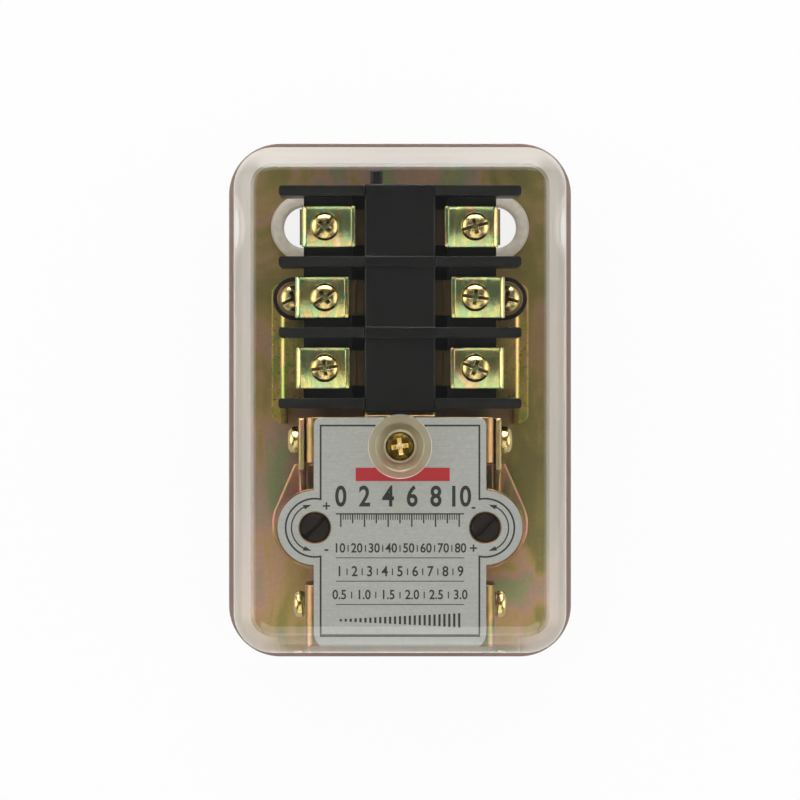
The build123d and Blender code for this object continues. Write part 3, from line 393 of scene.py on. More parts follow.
def makeGrommetRubber(settings):
    # soft cream rubber, moulded: a waxy matt skin that lets a little light into its lips
    material, tree, shader, coords = startMaterial("cream moulded rubber", {
        "Base Color": hexToLinear(settings["colour"]), "Roughness": 0.55, "IOR": 1.5,
        "Subsurface Weight": 0.15, "Subsurface Scale": 0.8 * mm})
    bloom = addNode(tree, "ShaderNodeTexNoise",
                    {"Scale": 1000 / settings["bloom"], "Detail": 3.0}, {"Vector": coords})
    tint = addNode(tree, "ShaderNodeValToRGB",
                   {"stops": [(0.3, settings["shade"]), (0.7, settings["colour"])]}, {"Fac": bloom})
    tree.links.new(tint.outputs[0], shader.inputs["Base Color"])
    bump = addNode(tree, "ShaderNodeBump", {"Strength": 0.2, "Distance": 0.05 * mm}, {"Height": bloom})
    tree.links.new(bump.outputs[0], shader.inputs["Normal"])
    return material


grommetRubber = makeGrommetRubber({"colour": "dbd2c4", "shade": "c9c0b1", "bloom": 1.5})


def makeNameplateMetal(settings):
    # aluminium sheet under satin silver lacquer: even light grey with a faint brushed grain along its width
    material, tree, shader, coords = startMaterial("satin lacquered aluminium sheet", {
        "Metallic": settings["metallic"], "Roughness": settings["roughness"]})
    grain = addNode(tree, "ShaderNodeMapping", {"Scale": (0.04, 1.0, 1.0)}, {"Vector": coords})
    lines = addNode(tree, "ShaderNodeTexNoise",
                    {"Scale": 1000 / settings["line"], "Detail": 3.0}, {"Vector": grain})
    fleck = addNode(tree, "ShaderNodeTexNoise",
                    {"Scale": 1000 / settings["fleck"], "Detail": 2.0}, {"Vector": coords})
    both = addNode(tree, "ShaderNodeMath", {"operation": "MULTIPLY"}, {0: lines, 1: fleck})
    tint = addNode(tree, "ShaderNodeValToRGB",
                   {"stops": [(0.1, settings["shade"]), (0.45, settings["colour"])]}, {"Fac": both})
    tree.links.new(tint.outputs[0], shader.inputs["Base Color"])
    bump = addNode(tree, "ShaderNodeBump", {"Strength": 0.08, "Distance": 0.02 * mm}, {"Height": lines})
    tree.links.new(bump.outputs[0], shader.inputs["Normal"])
    return material


nameplateMetal = makeNameplateMetal({
    "colour": "b5b6b1", "shade": "a6a7a2", "metallic": 0.45, "roughness": 0.42, "line": 0.25, "fleck": 0.7})


def makeInk(name, colour):
    # screen-printed enamel ink: thin, flat and slightly glossy
    material, tree, shader, coords = startMaterial(
        name, {"Base Color": hexToLinear(colour), "Roughness": 0.4, "IOR": 1.5})
    wear = addNode(tree, "ShaderNodeTexNoise", {"Scale": 1000 / 0.6, "Detail": 3.0}, {"Vector": coords})
    rough = addNode(tree, "ShaderNodeMapRange", {"To Min": 0.34, "To Max": 0.5}, {"Value": wear})
    tree.links.new(rough.outputs[0], shader.inputs["Roughness"])
    return material


blackInk = makeInk("black printing ink", "1d1d1c")
redInk = makeInk("red printing ink", "b3222c")


def makeClearMoulding(name, settings):
    # injection-moulded polycarbonate: faint flow waves bend its reflections
    material, tree, shader, coords = startMaterial(name, {
        "Base Color": hexToLinear(settings["colour"]), "Roughness": settings["roughness"],
        "IOR": settings["ior"], "Transmission Weight": settings["clear"],
        "Coat Weight": settings["skin"], "Coat Roughness": settings["roughness"], "Coat IOR": 1.56})
    flow = addNode(tree, "ShaderNodeTexNoise",
                   {"Scale": 1000 / settings["wave"], "Detail": 2.0, "Distortion": 0.6}, {"Vector": coords})
    bump = addNode(tree, "ShaderNodeBump",
                   {"Strength": settings["waviness"], "Distance": 0.1 * mm}, {"Height": flow})
    tree.links.new(bump.outputs[0], shader.inputs["Normal"])
    # lamps and scattered light pass straight through, so what is under the cover is lit as in the open
    through = addNode(tree, "ShaderNodeBsdfTransparent", {"Color": hexToLinear(settings["shadow"])})
    body = addHazeAndPaintedLight(tree, coords, shader, settings["hazeAndPaintedLight"]) if "hazeAndPaintedLight" in settings else shader
    mix = addNode(tree, "ShaderNodeMixShader",
                  links={0: rayIs(tree, "Shadow", "Diffuse", "Glossy"), 1: body, 2: through})
    output = next(n for n in tree.nodes if n.type == "OUTPUT_MATERIAL")
    tree.links.new(mix.outputs[0], output.inputs["Surface"])
    return material


def addHazeAndPaintedLight(tree, coords, clear, hazeAndPaintedLight):
    # the rounded edges between face and flank look milky: partly the plastic's own haze, partly painted light
    # standing for the light these edges gather; each gate says how much milk there is from one value to
    # another, of the slope or of a place in millimetres
    normal = addNode(tree, "ShaderNodeNewGeometry").outputs["True Normal"]
    slope = addNode(tree, "ShaderNodeSeparateXYZ", links={0: normal})
    steep = addNode(tree, "ShaderNodeMath", {"operation": "ABSOLUTE"}, {0: slope.outputs["Z"]})
    place = addNode(tree, "ShaderNodeSeparateXYZ", links={0: coords})
    aside = addNode(tree, "ShaderNodeMath", {"operation": "ABSOLUTE"}, {0: place.outputs["X"]})
    sources = {"steep": steep, "aside": aside, "along": place.outputs["Y"]}
    for operation, source, unit, kind, (start, end, least, most) in hazeAndPaintedLight["gates"]:
        gate = addNode(tree, "ShaderNodeMapRange", {
            "From Min": start * unit, "From Max": end * unit, "To Min": least, "To Max": most,
            "interpolation_type": kind}, {"Value": sources[source]})
        if operation:
            gate = addNode(tree, "ShaderNodeMath", {"operation": operation}, {0: share, 1: gate})
        share = gate
    back = addNode(tree, "ShaderNodeBsdfDiffuse", {"Color": hexToLinear(hazeAndPaintedLight["milk"])})
    front = addNode(tree, "ShaderNodeBsdfTranslucent", {"Color": hexToLinear(hazeAndPaintedLight["milk"])})
    milk = addNode(tree, "ShaderNodeMixShader", {0: 0.45}, {1: back, 2: front})
    return addNode(tree, "ShaderNodeMixShader", links={0: share, 1: clear, 2: milk})


clearMoulding = makeClearMoulding("clear moulded polycarbonate", {
    "colour": "fcfcfb", "shadow": "fafaf9", "roughness": 0.02, "ior": 1.2, "clear": 1.0, "skin": 0.85,
    "wave": 9.0, "waviness": 0.06, "hazeAndPaintedLight": {"milk": "fdf6ee", "gates": [
        # painted light and shade: the milk is painted thin towards the -y end, where little lamp light falls,
        # save on its outermost rim, and up to 1.7 times stronger at the +y end, under the far lamp
        (None, "along", mm, "LINEAR", (-22, -19.5, 0.12, 1.0)),
        ("MAXIMUM", "along", mm, "LINEAR", (-27.2, -27.9, 0.0, 0.75)),
        ("MAXIMUM", "aside", mm, "LINEAR", (23, 31, 0.0, 1.0)),
        ("MULTIPLY", "along", mm, "LINEAR", (79, 83, 1.0, 1.7)),
        ("MULTIPLY", "steep", 1, "SMOOTHSTEP", (0.995, 0.9, 0.0, 1.0)),
        ("MULTIPLY", "steep", 1, "LINEAR", (0.035, 0.2, 0.0, 0.6)),
    ]}})
# the screw boss was cut by spark erosion in the mould: its faces are matt and look milky
mattMoulding = makeClearMoulding("spark textured polycarbonate", {
    "colour": "b3a786", "shadow": "efece4", "roughness": 0.42, "ior": 1.5, "clear": 0.6, "skin": 0.0,
    "wave": 0.5, "waviness": 0.25})
# its outer cone and end are coarser still
coarseMoulding = makeClearMoulding("coarse textured polycarbonate", {
    "colour": "ede2c2", "shadow": "efece4", "roughness": 0.5, "ior": 1.5, "clear": 0.05, "skin": 0.0,
    "wave": 0.4, "waviness": 0.3})
print("materials made")


coverValues = {
    "wall": 1.5, "front": 2.2, "draftDegrees": 1.8, "edgeRadius": 6.3, "innerRadius": 4.5, "footCorner": 10.5,
    "bossTop": 7.05, "bossBottom": 6.4, "recessTop": 5.2, "recessBottom": 3.7, "seat": 2.3, "hole": 2.25,
    "upperStep": 4.62, "lowerStep": 4.12, "coneStep": 6.62,  # radii of small steps, inside and out
    "dish": 6.95, "plateGap": 0.2,  # the boss ends this far above the nameplate
    "gateOffset": (0.2, 11.4),  # the moulding gate's place, from the screw's
}


def makeCover(values):
    low, high, middle = boxOf("cover")
    foot, top = low.z / mm, high.z / mm
    screw = boxOf("cover_screw")[2]
    boss = (screw.x / mm, screw.y / mm)
    bossFloor = boxOf("nameplate")[1].z / mm + values["plateGap"]
    halfX, halfY = (high.x - low.x) / 2 / mm, (high.y - low.y) / 2 / mm
    centre = (middle.x / mm, middle.y / mm)
    slope = math.tan(math.radians(values["draftDegrees"]))
    bm = bmesh.new()

    def shell(startX, startY, corner, face, radius, lip):
        draft = math.radians(values["draftDegrees"])
        centreZ = face - radius
        tangent = centreZ + radius * math.sin(draft)
        shift = (tangent - foot) * slope + radius * math.cos(draft)
        levels = [(foot, lip), (foot + 0.3, max(lip - 0.3, 0) + 0.3 * slope)] if lip else [(foot, 0.0)]
        for share in (0.1, 0.35, 0.65, 0.9):
            z = foot + (tangent - foot) * share
            levels.append((z, (z - foot) * slope))
        for i in range(13):
            a = draft + (math.pi / 2 - draft) * i / 12
            levels.append((centreZ + radius * math.sin(a), shift - radius * math.cos(a)))
        return [
            roundedRing(bm, startX - inset, startY - inset, corner - inset, z, centre, 16)
            for z, inset in levels
        ]

    outer = shell(halfX, halfY, values["footCorner"], top, values["edgeRadius"], 0.3)
    wall = values["wall"]
    inner = shell(halfX - wall, halfY - wall, values["footCorner"] - wall, top - values["front"],
                  values["innerRadius"], 0.0)
    skin(bm, outer)
    skin(bm, inner)
    bridge(bm, outer[0], inner[0])
    seat = bossFloor + values["seat"]
    underside = top - values["front"]
    dish, bossTop = values["dish"], values["bossTop"]
    upper, lower, cone = values["upperStep"], values["lowerStep"], values["coneStep"]
    profile = [
        (dish + 0.3, top), (dish + 0.12, top - 0.04), (dish, top - 0.16), (dish - 0.2, top - 0.2),
        (values["recessTop"] + 0.3, top - 0.26), (values["recessTop"], top - 0.5),
        (upper + 0.1, seat + 6.3), (upper, seat + 6.1), (lower + 0.08, seat + 3.2), (lower, seat + 3.0),
        (values["recessBottom"] + 0.1, seat + 0.3), (values["recessBottom"] - 0.15, seat),
        (values["hole"], seat), (values["hole"], bossFloor),
        (values["bossBottom"] - 0.4, bossFloor), (values["bossBottom"], bossFloor + 0.4),
        (cone, bossFloor + 4.2), (cone + 0.13, bossFloor + 4.5), (bossTop - 0.05, underside - 1.3),
        (bossTop + 0.12, underside - 0.7), (bossTop + 0.4, underside - 0.28), (bossTop + 0.9, underside),
    ]
    rings = [ring(bm, r, z, 72, boss) for r, z in profile]
    # the front's rim and the boss's root are clear, its recess and screw hole matt, its seat and cone coarse
    for start, end, texture in ((0, 2, 0), (2, 10, 1), (10, 12, 2), (12, 13, 1), (13, 18, 2), (18, 21, 0)):
        skin(bm, rings[start:end + 1], texture)
    # the gate's pip stands on the inner face, a little ring
    pip = [(1.35, 0), (1.3, -0.25), (0.95, -0.3), (0.7, -0.1), (0.15, -0.06)]
    gate = (boss[0] + values["gateOffset"][0], boss[1] + values["gateOffset"][1])
    pipRings = [ring(bm, r, underside + z, 24, gate) for r, z in pip]
    skin(bm, pipRings[:3], 2)
    skin(bm, pipRings[2:])
    bm.faces.new(pipRings[-1])
    fillBetween(bm, outer[-1], rings[0])
    fillBetween(bm, inner[-1], rings[-1], pipRings[0])
    return finishMesh("coverShell", bm, [clearMoulding, mattMoulding, coarseMoulding], 28, body="cover")


cover = makeCover(coverValues)
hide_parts("cover")
print("cover made")


def makeScrewMesh(name, values, material, inside):
    # a pan-head screw in its own frame: seat at z 0, head up, shank down; sizes in millimetres
    r, h = values["headRadius"], values["headHeight"]
    bm = bmesh.new()
    shank = values["shankRadius"]
    profile = [(shank * 0.55, -values["shankLength"]), (shank * 0.92, -values["shankLength"] + 0.5)]
    pitch, depth = values["pitch"], values["threadDepth"]
    z = -values["shankLength"] + 0.6
    while z < -0.4:
        profile += [(shank, z), (shank - depth, z + pitch * 0.45)]
        z += pitch
    profile += [(shank, -0.05), (r - 0.12, 0.0), (r, 0.14), (r, h * 0.42), (r * 0.975, h * 0.58),
                (r * 0.9, h * 0.76), (r * 0.76, h * 0.9), (r * 0.55, h * 0.975), (r * 0.3, h), (0.05, h)]
    rings = [ring(bm, radius, z, 40) for radius, z in profile]
    skin(bm, rings)
    closeEnds(bm, rings)
    bmesh.ops.recalc_face_normals(bm, faces=bm.faces)
    body = bpy.data.meshes.new(name + "Body")
    bm.to_mesh(body)
    bm.free()
    cutter = bmesh.new()
    for kind in values["recess"]:
        if kind == "slot":
            thin = values["slot"] / 2
            addWedge(cutter, r * 1.3, r * 1.3, thin, thin * 0.85, h + 0.3, h - values["slotDepth"])
        else:
            arm, thin = values["arm"], values["armWidth"] / 2
            addWedge(cutter, arm, arm * 0.42, thin, thin * 0.7, h + 0.3, h - values["crossDepth"])
            addWedge(cutter, thin, thin * 0.7, arm, arm * 0.42, h + 0.3, h - values["crossDepth"])
    tool = bpy.data.meshes.new(name + "Cut")
    tool.materials.append(inside)
    body.materials.append(material)
    cutter.to_mesh(tool)
    cutter.free()
    first = bpy.data.objects.new(name + "Body", body)
    second = bpy.data.objects.new(name + "Cut", tool)
    for piece in (first, second):
        bpy.context.scene.collection.objects.link(piece)
    cut = first.modifiers.new("recess", "BOOLEAN")
    cut.operation, cut.solver, cut.object = "DIFFERENCE", "EXACT", second
    cut.use_self, cut.material_mode = True, "TRANSFER"
    rounding = first.modifiers.new("edge rounding", "BEVEL")
    rounding.width, rounding.segments = values["edgeRounding"] * mm, 2
    rounding.angle_limit = math.radians(38)
    bpy.context.view_layer.update()
    graph = bpy.context.evaluated_depsgraph_get()
    mesh = bpy.data.meshes.new_from_object(first.evaluated_get(graph))
    mesh.name = name
    bpy.data.objects.remove(first)
    bpy.data.objects.remove(second)
    markSharp(mesh, 34)
    return mesh


def addWedge(bm, topX, bottomX, topY, bottomY, high, low):
    corners = []
    for halfX, halfY, z in ((bottomX, bottomY, low), (topX, topY, high)):
        for x, y in ((-1, -1), (1, -1), (1, 1), (-1, 1)):
            corners.append(bm.verts.new((x * halfX * mm, y * halfY * mm, z * mm)))
    for face in ((0, 3, 2, 1), (4, 5, 6, 7), (0, 1, 5, 4), (1, 2, 6, 5), (2, 3, 7, 6), (3, 0, 4, 7)):
        bm.faces.new([corners[i] for i in face])


def placeScrews(name, mesh, spots, body, slotName, *stoodFor):
    # spots are (point in millimetres, direction of the head, turn in degrees); the copies become one piece
    bm = bmesh.new()
    for point, up, turn in spots:
        aim = Vector(up).to_track_quat("Z", "Y").to_matrix().to_4x4()
        place = Matrix.Translation(Vector(point) * mm) @ aim @ Matrix.Rotation(math.radians(turn), 4, "Z")
        copy = mesh.copy()
        copy.transform(place)
        bm.from_mesh(copy)
        bpy.data.meshes.remove(copy)
    made = bpy.data.meshes.new(name)
    bm.to_mesh(made)
    bm.free()
    for material in mesh.materials:
        made.materials.append(material)
    piece = bpy.data.objects.new(name, made)
    bpy.context.scene.collection.objects.link(piece)
    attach(piece, body)
    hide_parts(*stoodFor)


panScrew = {
    "headRadius": 3.25, "headHeight": 2.4, "shankRadius": 1.95, "shankLength": 10.0, "pitch": 0.7,
    "recess": ("slot", "cross"), "slot": 0.75, "slotDepth": 0.9, "arm": 1.95, "armWidth": 0.95,
    "crossDepth": 1.7, "threadDepth": 0.16, "edgeRounding": 0.07,
}
blockScrew = {**panScrew, "shankLength": 6.4}
coverScrew = {**panScrew, "recess": ("cross",), "arm": 2.1, "armWidth": 1.0}
sideScrew = {**panScrew, "shankRadius": 1.5, "pitch": 0.5, "arm": 1.6, "armWidth": 0.8, "crossDepth": 1.3}
sideScrews = {
    "pivotScrews": ("pivot_screws", {"headHeight": 2.5, "shankLength": 5.2, "recess": ("slot",)}),
    "yokeScrews": ("yoke_screws", {"headHeight": 2.3, "shankLength": 5.0, "recess": ("cross",)}),
}
# how far each screw was left turned, in degrees
screwTurns = {"terminal": (8, -20, 35, -8, 50, 15), "block": (25, -15), "cover": 8, "side": 20}

clampTop = boxOf("line_clamp_1")[1].z / mm
spots = []
for number in (1, 2, 3):
    for side in ("line", "load"):
        middle = boxOf(f"{side}_clamp_{number}")[2]
        turn = screwTurns["terminal"][len(spots)]
        spots.append(((middle.x / mm, middle.y / mm, clampTop), (0, 0, 1), turn))
placeScrews("terminalScrews", makeScrewMesh("terminalScrewMesh", panScrew, screwMetal, shadedRecessMetal), spots,
            "housing", "zinc_screw", "terminal_screws")

low, high, middle = boxOf("block_washers")
earX = boxOf("block_screws")[1].x / mm - panScrew["headRadius"]
spots = [((side * earX, middle.y / mm, high.z / mm), (0, 0, 1), turn)
         for side, turn in zip((-1, 1), screwTurns["block"])]
placeScrews("blockScrews", makeScrewMesh("blockScrewMesh", blockScrew, screwMetal, shadedRecessMetal), spots,
            "housing", "zinc_screw", "block_screws")

low, high, middle = boxOf("cover_screw")
seat = high.z / mm - coverScrew["headHeight"]
mesh = makeScrewMesh("coverScrewMesh", {**coverScrew, "shankLength": seat - low.z / mm},
                     darkReflectionScrewMetal, paintedHighlightRecess)
placeScrews("coverScrew", mesh, [((middle.x / mm, middle.y / mm, seat), (0, 0, 1), screwTurns["cover"])],
            "cover_fastener", "zinc_screw", "cover_screw")

for piece, (node, values) in sideScrews.items():
    low, high, middle = boxOf(node)
    face = high.x / mm - values["headHeight"]
    values = {**sideScrew, **values, "headRadius": (high.z - low.z) / 2 / mm}
    mesh = makeScrewMesh(piece + "Mesh", values, screwMetal, shadedRecessMetal)
    spots = [((side * face, middle.y / mm, middle.z / mm), (side, 0, 0), side * screwTurns["side"])
             for side in (-1, 1)]
    placeScrews(piece, mesh, spots, "housing", "zinc_screw", node)
print("screws made")


clampValues = {
    "length": 11.7, "width": 9.1, "sheet": 0.85, "lip": 1.5, "sag": 0.35, "roll": 0.4, "curl": 0.35,
    "drop": 1.9, "bend": 0.9,  # how far the rolled end hangs, and how far the lip's bend lies from the end
    "slip": {1: 0.2, 2: 0.0, 3: 1.5},  # how far each row has slid inwards on its screws
}


def makeClampSheet(name, node, side, slip, values):
    # a stamped clamp: rolled down outside, turned up inside, slightly arched across its width
    high, middle = boxOf(node)[1:]
    baseTop = high.z / mm
    half, roll, curl = values["length"] / 2, values["roll"], values["curl"]
    profile = [(half, -values["drop"])]  # (x outwards, z) along the sheet's upper face
    for i in range(7):
        a = math.pi / 2 * i / 6
        profile.append((half - roll + roll * math.cos(a), -roll + roll * math.sin(a)))
    profile += [(half * 0.45, 0.0), (-half * 0.3, 0.0)]
    for i in range(7):
        a = -math.pi / 2 - math.pi / 2 * i / 6
        profile.append((-half + values["bend"] + curl * math.cos(a), curl + curl * math.sin(a)))
    profile.append((-half + values["bend"] - curl, values["lip"]))
    bm = bmesh.new()
    rows = []
    steps = 10
    for j in range(steps + 1):
        share = j / steps * 2 - 1
        y = middle.y / mm + share * values["width"] / 2
        drop = values["sag"] * share * share
        rows.append([])
        for out, up in profile:
            x = middle.x / mm + side * (out - slip)
            z = baseTop + up - drop * (0.4 if up > 0.2 else 1.0)
            rows[-1].append(bm.verts.new((x * mm, y * mm, z * mm)))
    for first, second in zip(rows, rows[1:]):
        for i in range(len(profile) - 1):
            bm.faces.new((first[i], first[i + 1], second[i + 1], second[i]))
    piece = finishMesh(name, bm, [clampMetal], 60)
    thick = piece.modifiers.new("sheet", "SOLIDIFY")
    thick.thickness = values["sheet"] * mm
    thick.offset = 1.0
    rounding = piece.modifiers.new("edge rounding", "BEVEL")
    rounding.width, rounding.segments, rounding.angle_limit = 0.12 * mm, 2, math.radians(50)
    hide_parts(node)


for number, slip in clampValues["slip"].items():
    makeClampSheet(f"lineClamp{number}", f"line_clamp_{number}", -1, slip, clampValues)
    makeClampSheet(f"loadClamp{number}", f"load_clamp_{number}", 1, slip, clampValues)
print("clamps made")


plateValues = {
    "halfWidth": 19.25, "corner": 1.8, "lobe": 8.3, "hole": 3.65, "screwHole": 2.25, "bevel": 0.12,
    "border": 17.7, "borderTop": 22.8, "borderBottom": -23.3, "borderLobe": 6.5, "line": 0.4,
    "arrow": 5.2, "arrowLine": 0.3, "arrowTurn": 62, "arrowHead": 20, "sign": (16.4, 4.7, 2.3),
    "band": (0.6, 11.9, 21.0, 3.0),  # the red band: its middle, width and height
    "rule": (3.1, 28.6, 0.3),  # the main rule: height on the plate, length and line
    "scale": (-13.2, 26.4),  # where its divisions start, and how far they reach
    "figures": (6.8, 4.6),  # the large figures: height on the plate and size
    "rows": (
        (-4.6, 2.1, ("10", "20", "30", "40", "50", "60", "70", "80")),
        (-9.8, 2.3, ("1", "2", "3", "4", "5", "6", "7", "8", "9")),
        (-15.0, 2.1, ("0.5", "1.0", "1.5", "2.0", "2.5", "3.0")),
    ),
    "rowStart": -13.5, "rowLength": 27.0, "barsY": -20.6,
}


def plateOutline(halfX, topY, bottomY, lobe, lobeX, corner):
    # walks round the plate anticlockwise from the right-hand lobe
    reach = math.degrees(math.acos((halfX - lobeX) / lobe))

    def turn(sideX, y, start):
        middle = (sideX * (halfX - corner), y - corner if y > 0 else y + corner)
        return arcPoints(middle, corner, start, start + 90, 8) if corner else [(sideX * halfX, y)]

    points = arcPoints((lobeX, 0), lobe, -reach, reach, 40) + turn(1, topY, 0) + turn(-1, topY, 90)
    points += arcPoints((-lobeX, 0), lobe, 180 - reach, 180 + reach, 40)
    return points + turn(-1, bottomY, 180) + turn(1, bottomY, 270)


def makeNameplate(values):
    low, high = boxOf("nameplate")[:2]
    under, over = low.z / mm, high.z / mm
    lobeX = boxOf("differential_adjuster")[2].x / mm
    outline = plateOutline(values["halfWidth"], high.y / mm, low.y / mm,
                           values["lobe"], lobeX, values["corner"])
    screw = boxOf("cover_screw")[2]
    holes = ((lobeX, 0, values["hole"]), (-lobeX, 0, values["hole"]),
             (screw.x / mm, screw.y / mm, values["screwHole"]))
    bevel = values["bevel"]
    bm = bmesh.new()
    layers = []
    for z, inset in ((under, 0.0), (over - bevel, 0.0), (over, bevel)):
        shrink = 1 - inset / 30
        loops = [[bm.verts.new((x * shrink * mm, y * shrink * mm, z * mm)) for x, y in outline]]
        for cx, cy, r in holes:
            loops.append(ring(bm, r + inset * 0.6, z, 40, (cx, cy)))
        layers.append(loops)
    for first, second in zip(layers, layers[1:]):
        for a, b in zip(first, second):
            bridge(bm, a, b)
    fillBetween(bm, *layers[0])
    fillBetween(bm, *layers[-1])
    piece = finishMesh("nameplateSheet", bm, [nameplateMetal], 40)
    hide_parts("nameplate")
    return over, lobeX


def addWords(bm, words, x, y, height, z, width=1.0, bold=0.0):
    # plain figures in black ink, as tall as height
    curve = bpy.data.curves.new("words", "FONT")
    curve.body, curve.size = words, height / 0.72 * mm
    curve.align_x, curve.align_y = "CENTER", "CENTER"
    curve.offset, curve.resolution_u = bold * mm, 4
    holder = bpy.data.objects.new("words", curve)
    bpy.context.scene.collection.objects.link(holder)
    bpy.context.view_layer.update()
    mesh = bpy.data.meshes.new_from_object(holder.evaluated_get(bpy.context.evaluated_depsgraph_get()))
    mesh.transform(Matrix.Translation((x * mm, y * mm, z * mm)) @ Matrix.Diagonal((width, 1, 1, 1)))
    bm.from_mesh(mesh)
    bpy.data.objects.remove(holder)
    bpy.data.curves.remove(curve)
    bpy.data.meshes.remove(mesh)


def addBar(bm, x, y, width, height, z, slotIndex=0):
    stripAlong(bm, [(x - width / 2, y), (x + width / 2, y)], height, z, slotIndex=slotIndex)


def makePrinting(values, over, lobeX):
    z = over + 0.02
    bm = bmesh.new()
    border = plateOutline(values["border"], values["borderTop"], values["borderBottom"],
                          values["borderLobe"], lobeX, 0)
    stripAlong(bm, border, values["line"], z, closed=True)
    arrow, turn = values["arrow"], values["arrowTurn"]
    signX, signY, signSize = values["sign"]
    for side in (-1, 1):
        # two-headed turning arrow round each adjuster, with its plus and minus
        middle = 180 if side < 0 else 0
        shaft = arcPoints((side * lobeX, 0), arrow, middle - turn, middle + turn, 30)
        stripAlong(bm, shaft, values["arrowLine"], z)
        for end in (-1, 1):
            a = math.radians(middle + end * turn)
            tip = math.radians(middle + end * (turn + values["arrowHead"]))
            spot = Vector((side * lobeX + arrow * math.cos(a), arrow * math.sin(a)))
            point = Vector((side * lobeX + arrow * math.cos(tip), arrow * math.sin(tip)))
            across = Vector((math.cos(a), math.sin(a))) * 0.55
            head = (spot - across, spot + across, point)
            bm.faces.new([bm.verts.new((p.x * mm, p.y * mm, z * mm)) for p in head])
        addWords(bm, "+", side * signX, signY * -side, signSize, z, bold=0.05)
        addWords(bm, "-", side * signX, -signY * -side, signSize, z, bold=0.05)
    # red band under the screw boss
    addBar(bm, *values["band"], z, 1)
    # main scale: large figures over a graduated rule
    figureY, figureSize = values["figures"]
    ruleY, ruleLength, ruleLine = values["rule"]
    start, length = values["scale"]
    for i, figure in enumerate(("0", "2", "4", "6", "8", "10")):
        addWords(bm, figure, start + i * 5.3, figureY, figureSize, z, 0.82, 0.14)
    addBar(bm, 0, ruleY, ruleLength, ruleLine, z)
    for i in range(51):
        tall = 2.9 if i % 10 == 0 else (2.1 if i % 5 == 0 else 1.3)
        addBar(bm, start + i * length / 50, ruleY - tall / 2, 0.2 if i % 5 else 0.32, tall, z)
    # three rows of small figures with their rules
    start = values["rowStart"]
    for y, size, figures in values["rows"]:
        pitch = values["rowLength"] / (len(figures) - 1)
        for i, figure in enumerate(figures):
            addWords(bm, figure, start + i * pitch, y, size, z, 0.9, 0.05)
            if i:
                addBar(bm, start + (i - 0.5) * pitch, y, 0.25, 1.5, z)
        addBar(bm, 0, y - 2.1, ruleLength, 0.18, z)
    # a row of bars that grow to the right
    for i in range(25):
        addBar(bm, values["scale"][0] + i * 1.1, values["barsY"], 0.5, 0.5 + 2.6 * i / 24, z)
    piece = finishMesh("nameplatePrint", bm, [blackInk, redInk], 20)


plateTop, adjusterX = makeNameplate(plateValues)
makePrinting(plateValues, plateTop, adjusterX)
print("nameplate made")


grommetValues = {
    "bore": 4.8, "groove": 6.15, "innerLip": 7.35, "outerLip": 7.78,  # radii
    "grooveLow": 2.2, "grooveHigh": 3.4,  # heights above its lower end
}


def makeGrommet(name, node, values):
    # a round lip on both faces of the tray, with a groove between that grips the sheet
    low, high, middle = boxOf(node)
    centre = (middle.x / mm, middle.y / mm)
    bottom, top = low.z / mm, high.z / mm
    bm = bmesh.new()
    bore, groove, inner, outer = (values[key] for key in ("bore", "groove", "innerLip", "outerLip"))
    under, over = bottom + values["grooveLow"], bottom + values["grooveHigh"]
    profile = [
        (bore, bottom + 0.3), (bore + 0.2, bottom + 0.05), (bore + 0.6, bottom), (inner - 0.45, bottom + 0.1),
        (inner - 0.05, bottom + 0.5), (inner, bottom + 1.6), (inner - 0.25, under - 0.05), (groove, under),
        (groove, over), (outer - 0.48, over + 0.05), (outer - 0.13, over + 0.3), (outer, over + 0.9),
        (outer - 0.18, over + 1.4), (outer - 0.68, over + 1.7), (outer - 1.38, top), (bore + 0.9, top - 0.02),
        (bore + 0.35, top - 0.12), (bore + 0.06, top - 0.4), (bore, top - 1.0),
    ]
    rings = [ring(bm, r, z, 72, centre) for r, z in profile]
    skin(bm, rings)
    bridge(bm, rings[-1], rings[0])
    piece = finishMesh(name, bm, [grommetRubber], 60)
    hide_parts(node)


makeGrommet("cableGrommetLeft", "cable_grommet_left", grommetValues)
makeGrommet("cableGrommetRight", "cable_grommet_right", grommetValues)
print("grommets made")


def coilPoints(centre, radius, low, high, turns, closedLow, closedHigh):
    # centreline of a compression spring; closedLow and closedHigh turns lie nearly flat at its ends
    points, perTurn, flatRise = [], 36, 0.12
    full = (closedLow + closedHigh) * flatRise + turns - closedLow - closedHigh
    for i in range(int(turns * perTurn) + 1):
        turn = i / perTurn
        rise = (min(turn, closedLow) * flatRise + max(0, min(turn, turns - closedHigh) - closedLow)
                + max(0, turn - turns + closedHigh) * flatRise)
        a = 2 * math.pi * turn
        x, y = centre[0] + radius * math.cos(a), centre[1] + radius * math.sin(a)
        points.append((x, y, low + (high - low) * rise / full))
    return points


springValues = {
    "pressure": {"wire": 0.9, "turns": 5.6, "seatGap": 1.2},
    "differential": {"wire": 0.6, "turns": 7.6, "seatGap": 1.2},
}

for side, values in springValues.items():
    node, joint = f"{side}_spring", f"{side}_nut_slide"
    wire = values["wire"]
    low, high, middle = boxOf(node)
    centre, radius = (middle.x / mm, middle.y / mm), (high.x - low.x) / 2 / mm - wire
    # the flat end turn rocks with the lever; the rest, which the nut presses down on, stays with the housing
    seatHeight = low.z / mm + wire
    bm = bmesh.new()
    tubeAlong(bm, coilPoints(centre, radius, seatHeight, seatHeight, 0.96, 0.48, 0.48), wire, 12)
    seat = finishMesh(f"{side}SpringSeat", bm, [springWire], 50, body="lever")
    start = seatHeight + 2 * wire + values["seatGap"]
    bm = bmesh.new()
    tubeAlong(bm, coilPoints(centre, radius, start, high.z / mm - wire, values["turns"], 0.0, 0.9), wire, 12)
    piece = finishMesh(f"{side}Spring", bm, [springWire], 50)
    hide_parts(node)
    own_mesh(piece)
print("springs made")


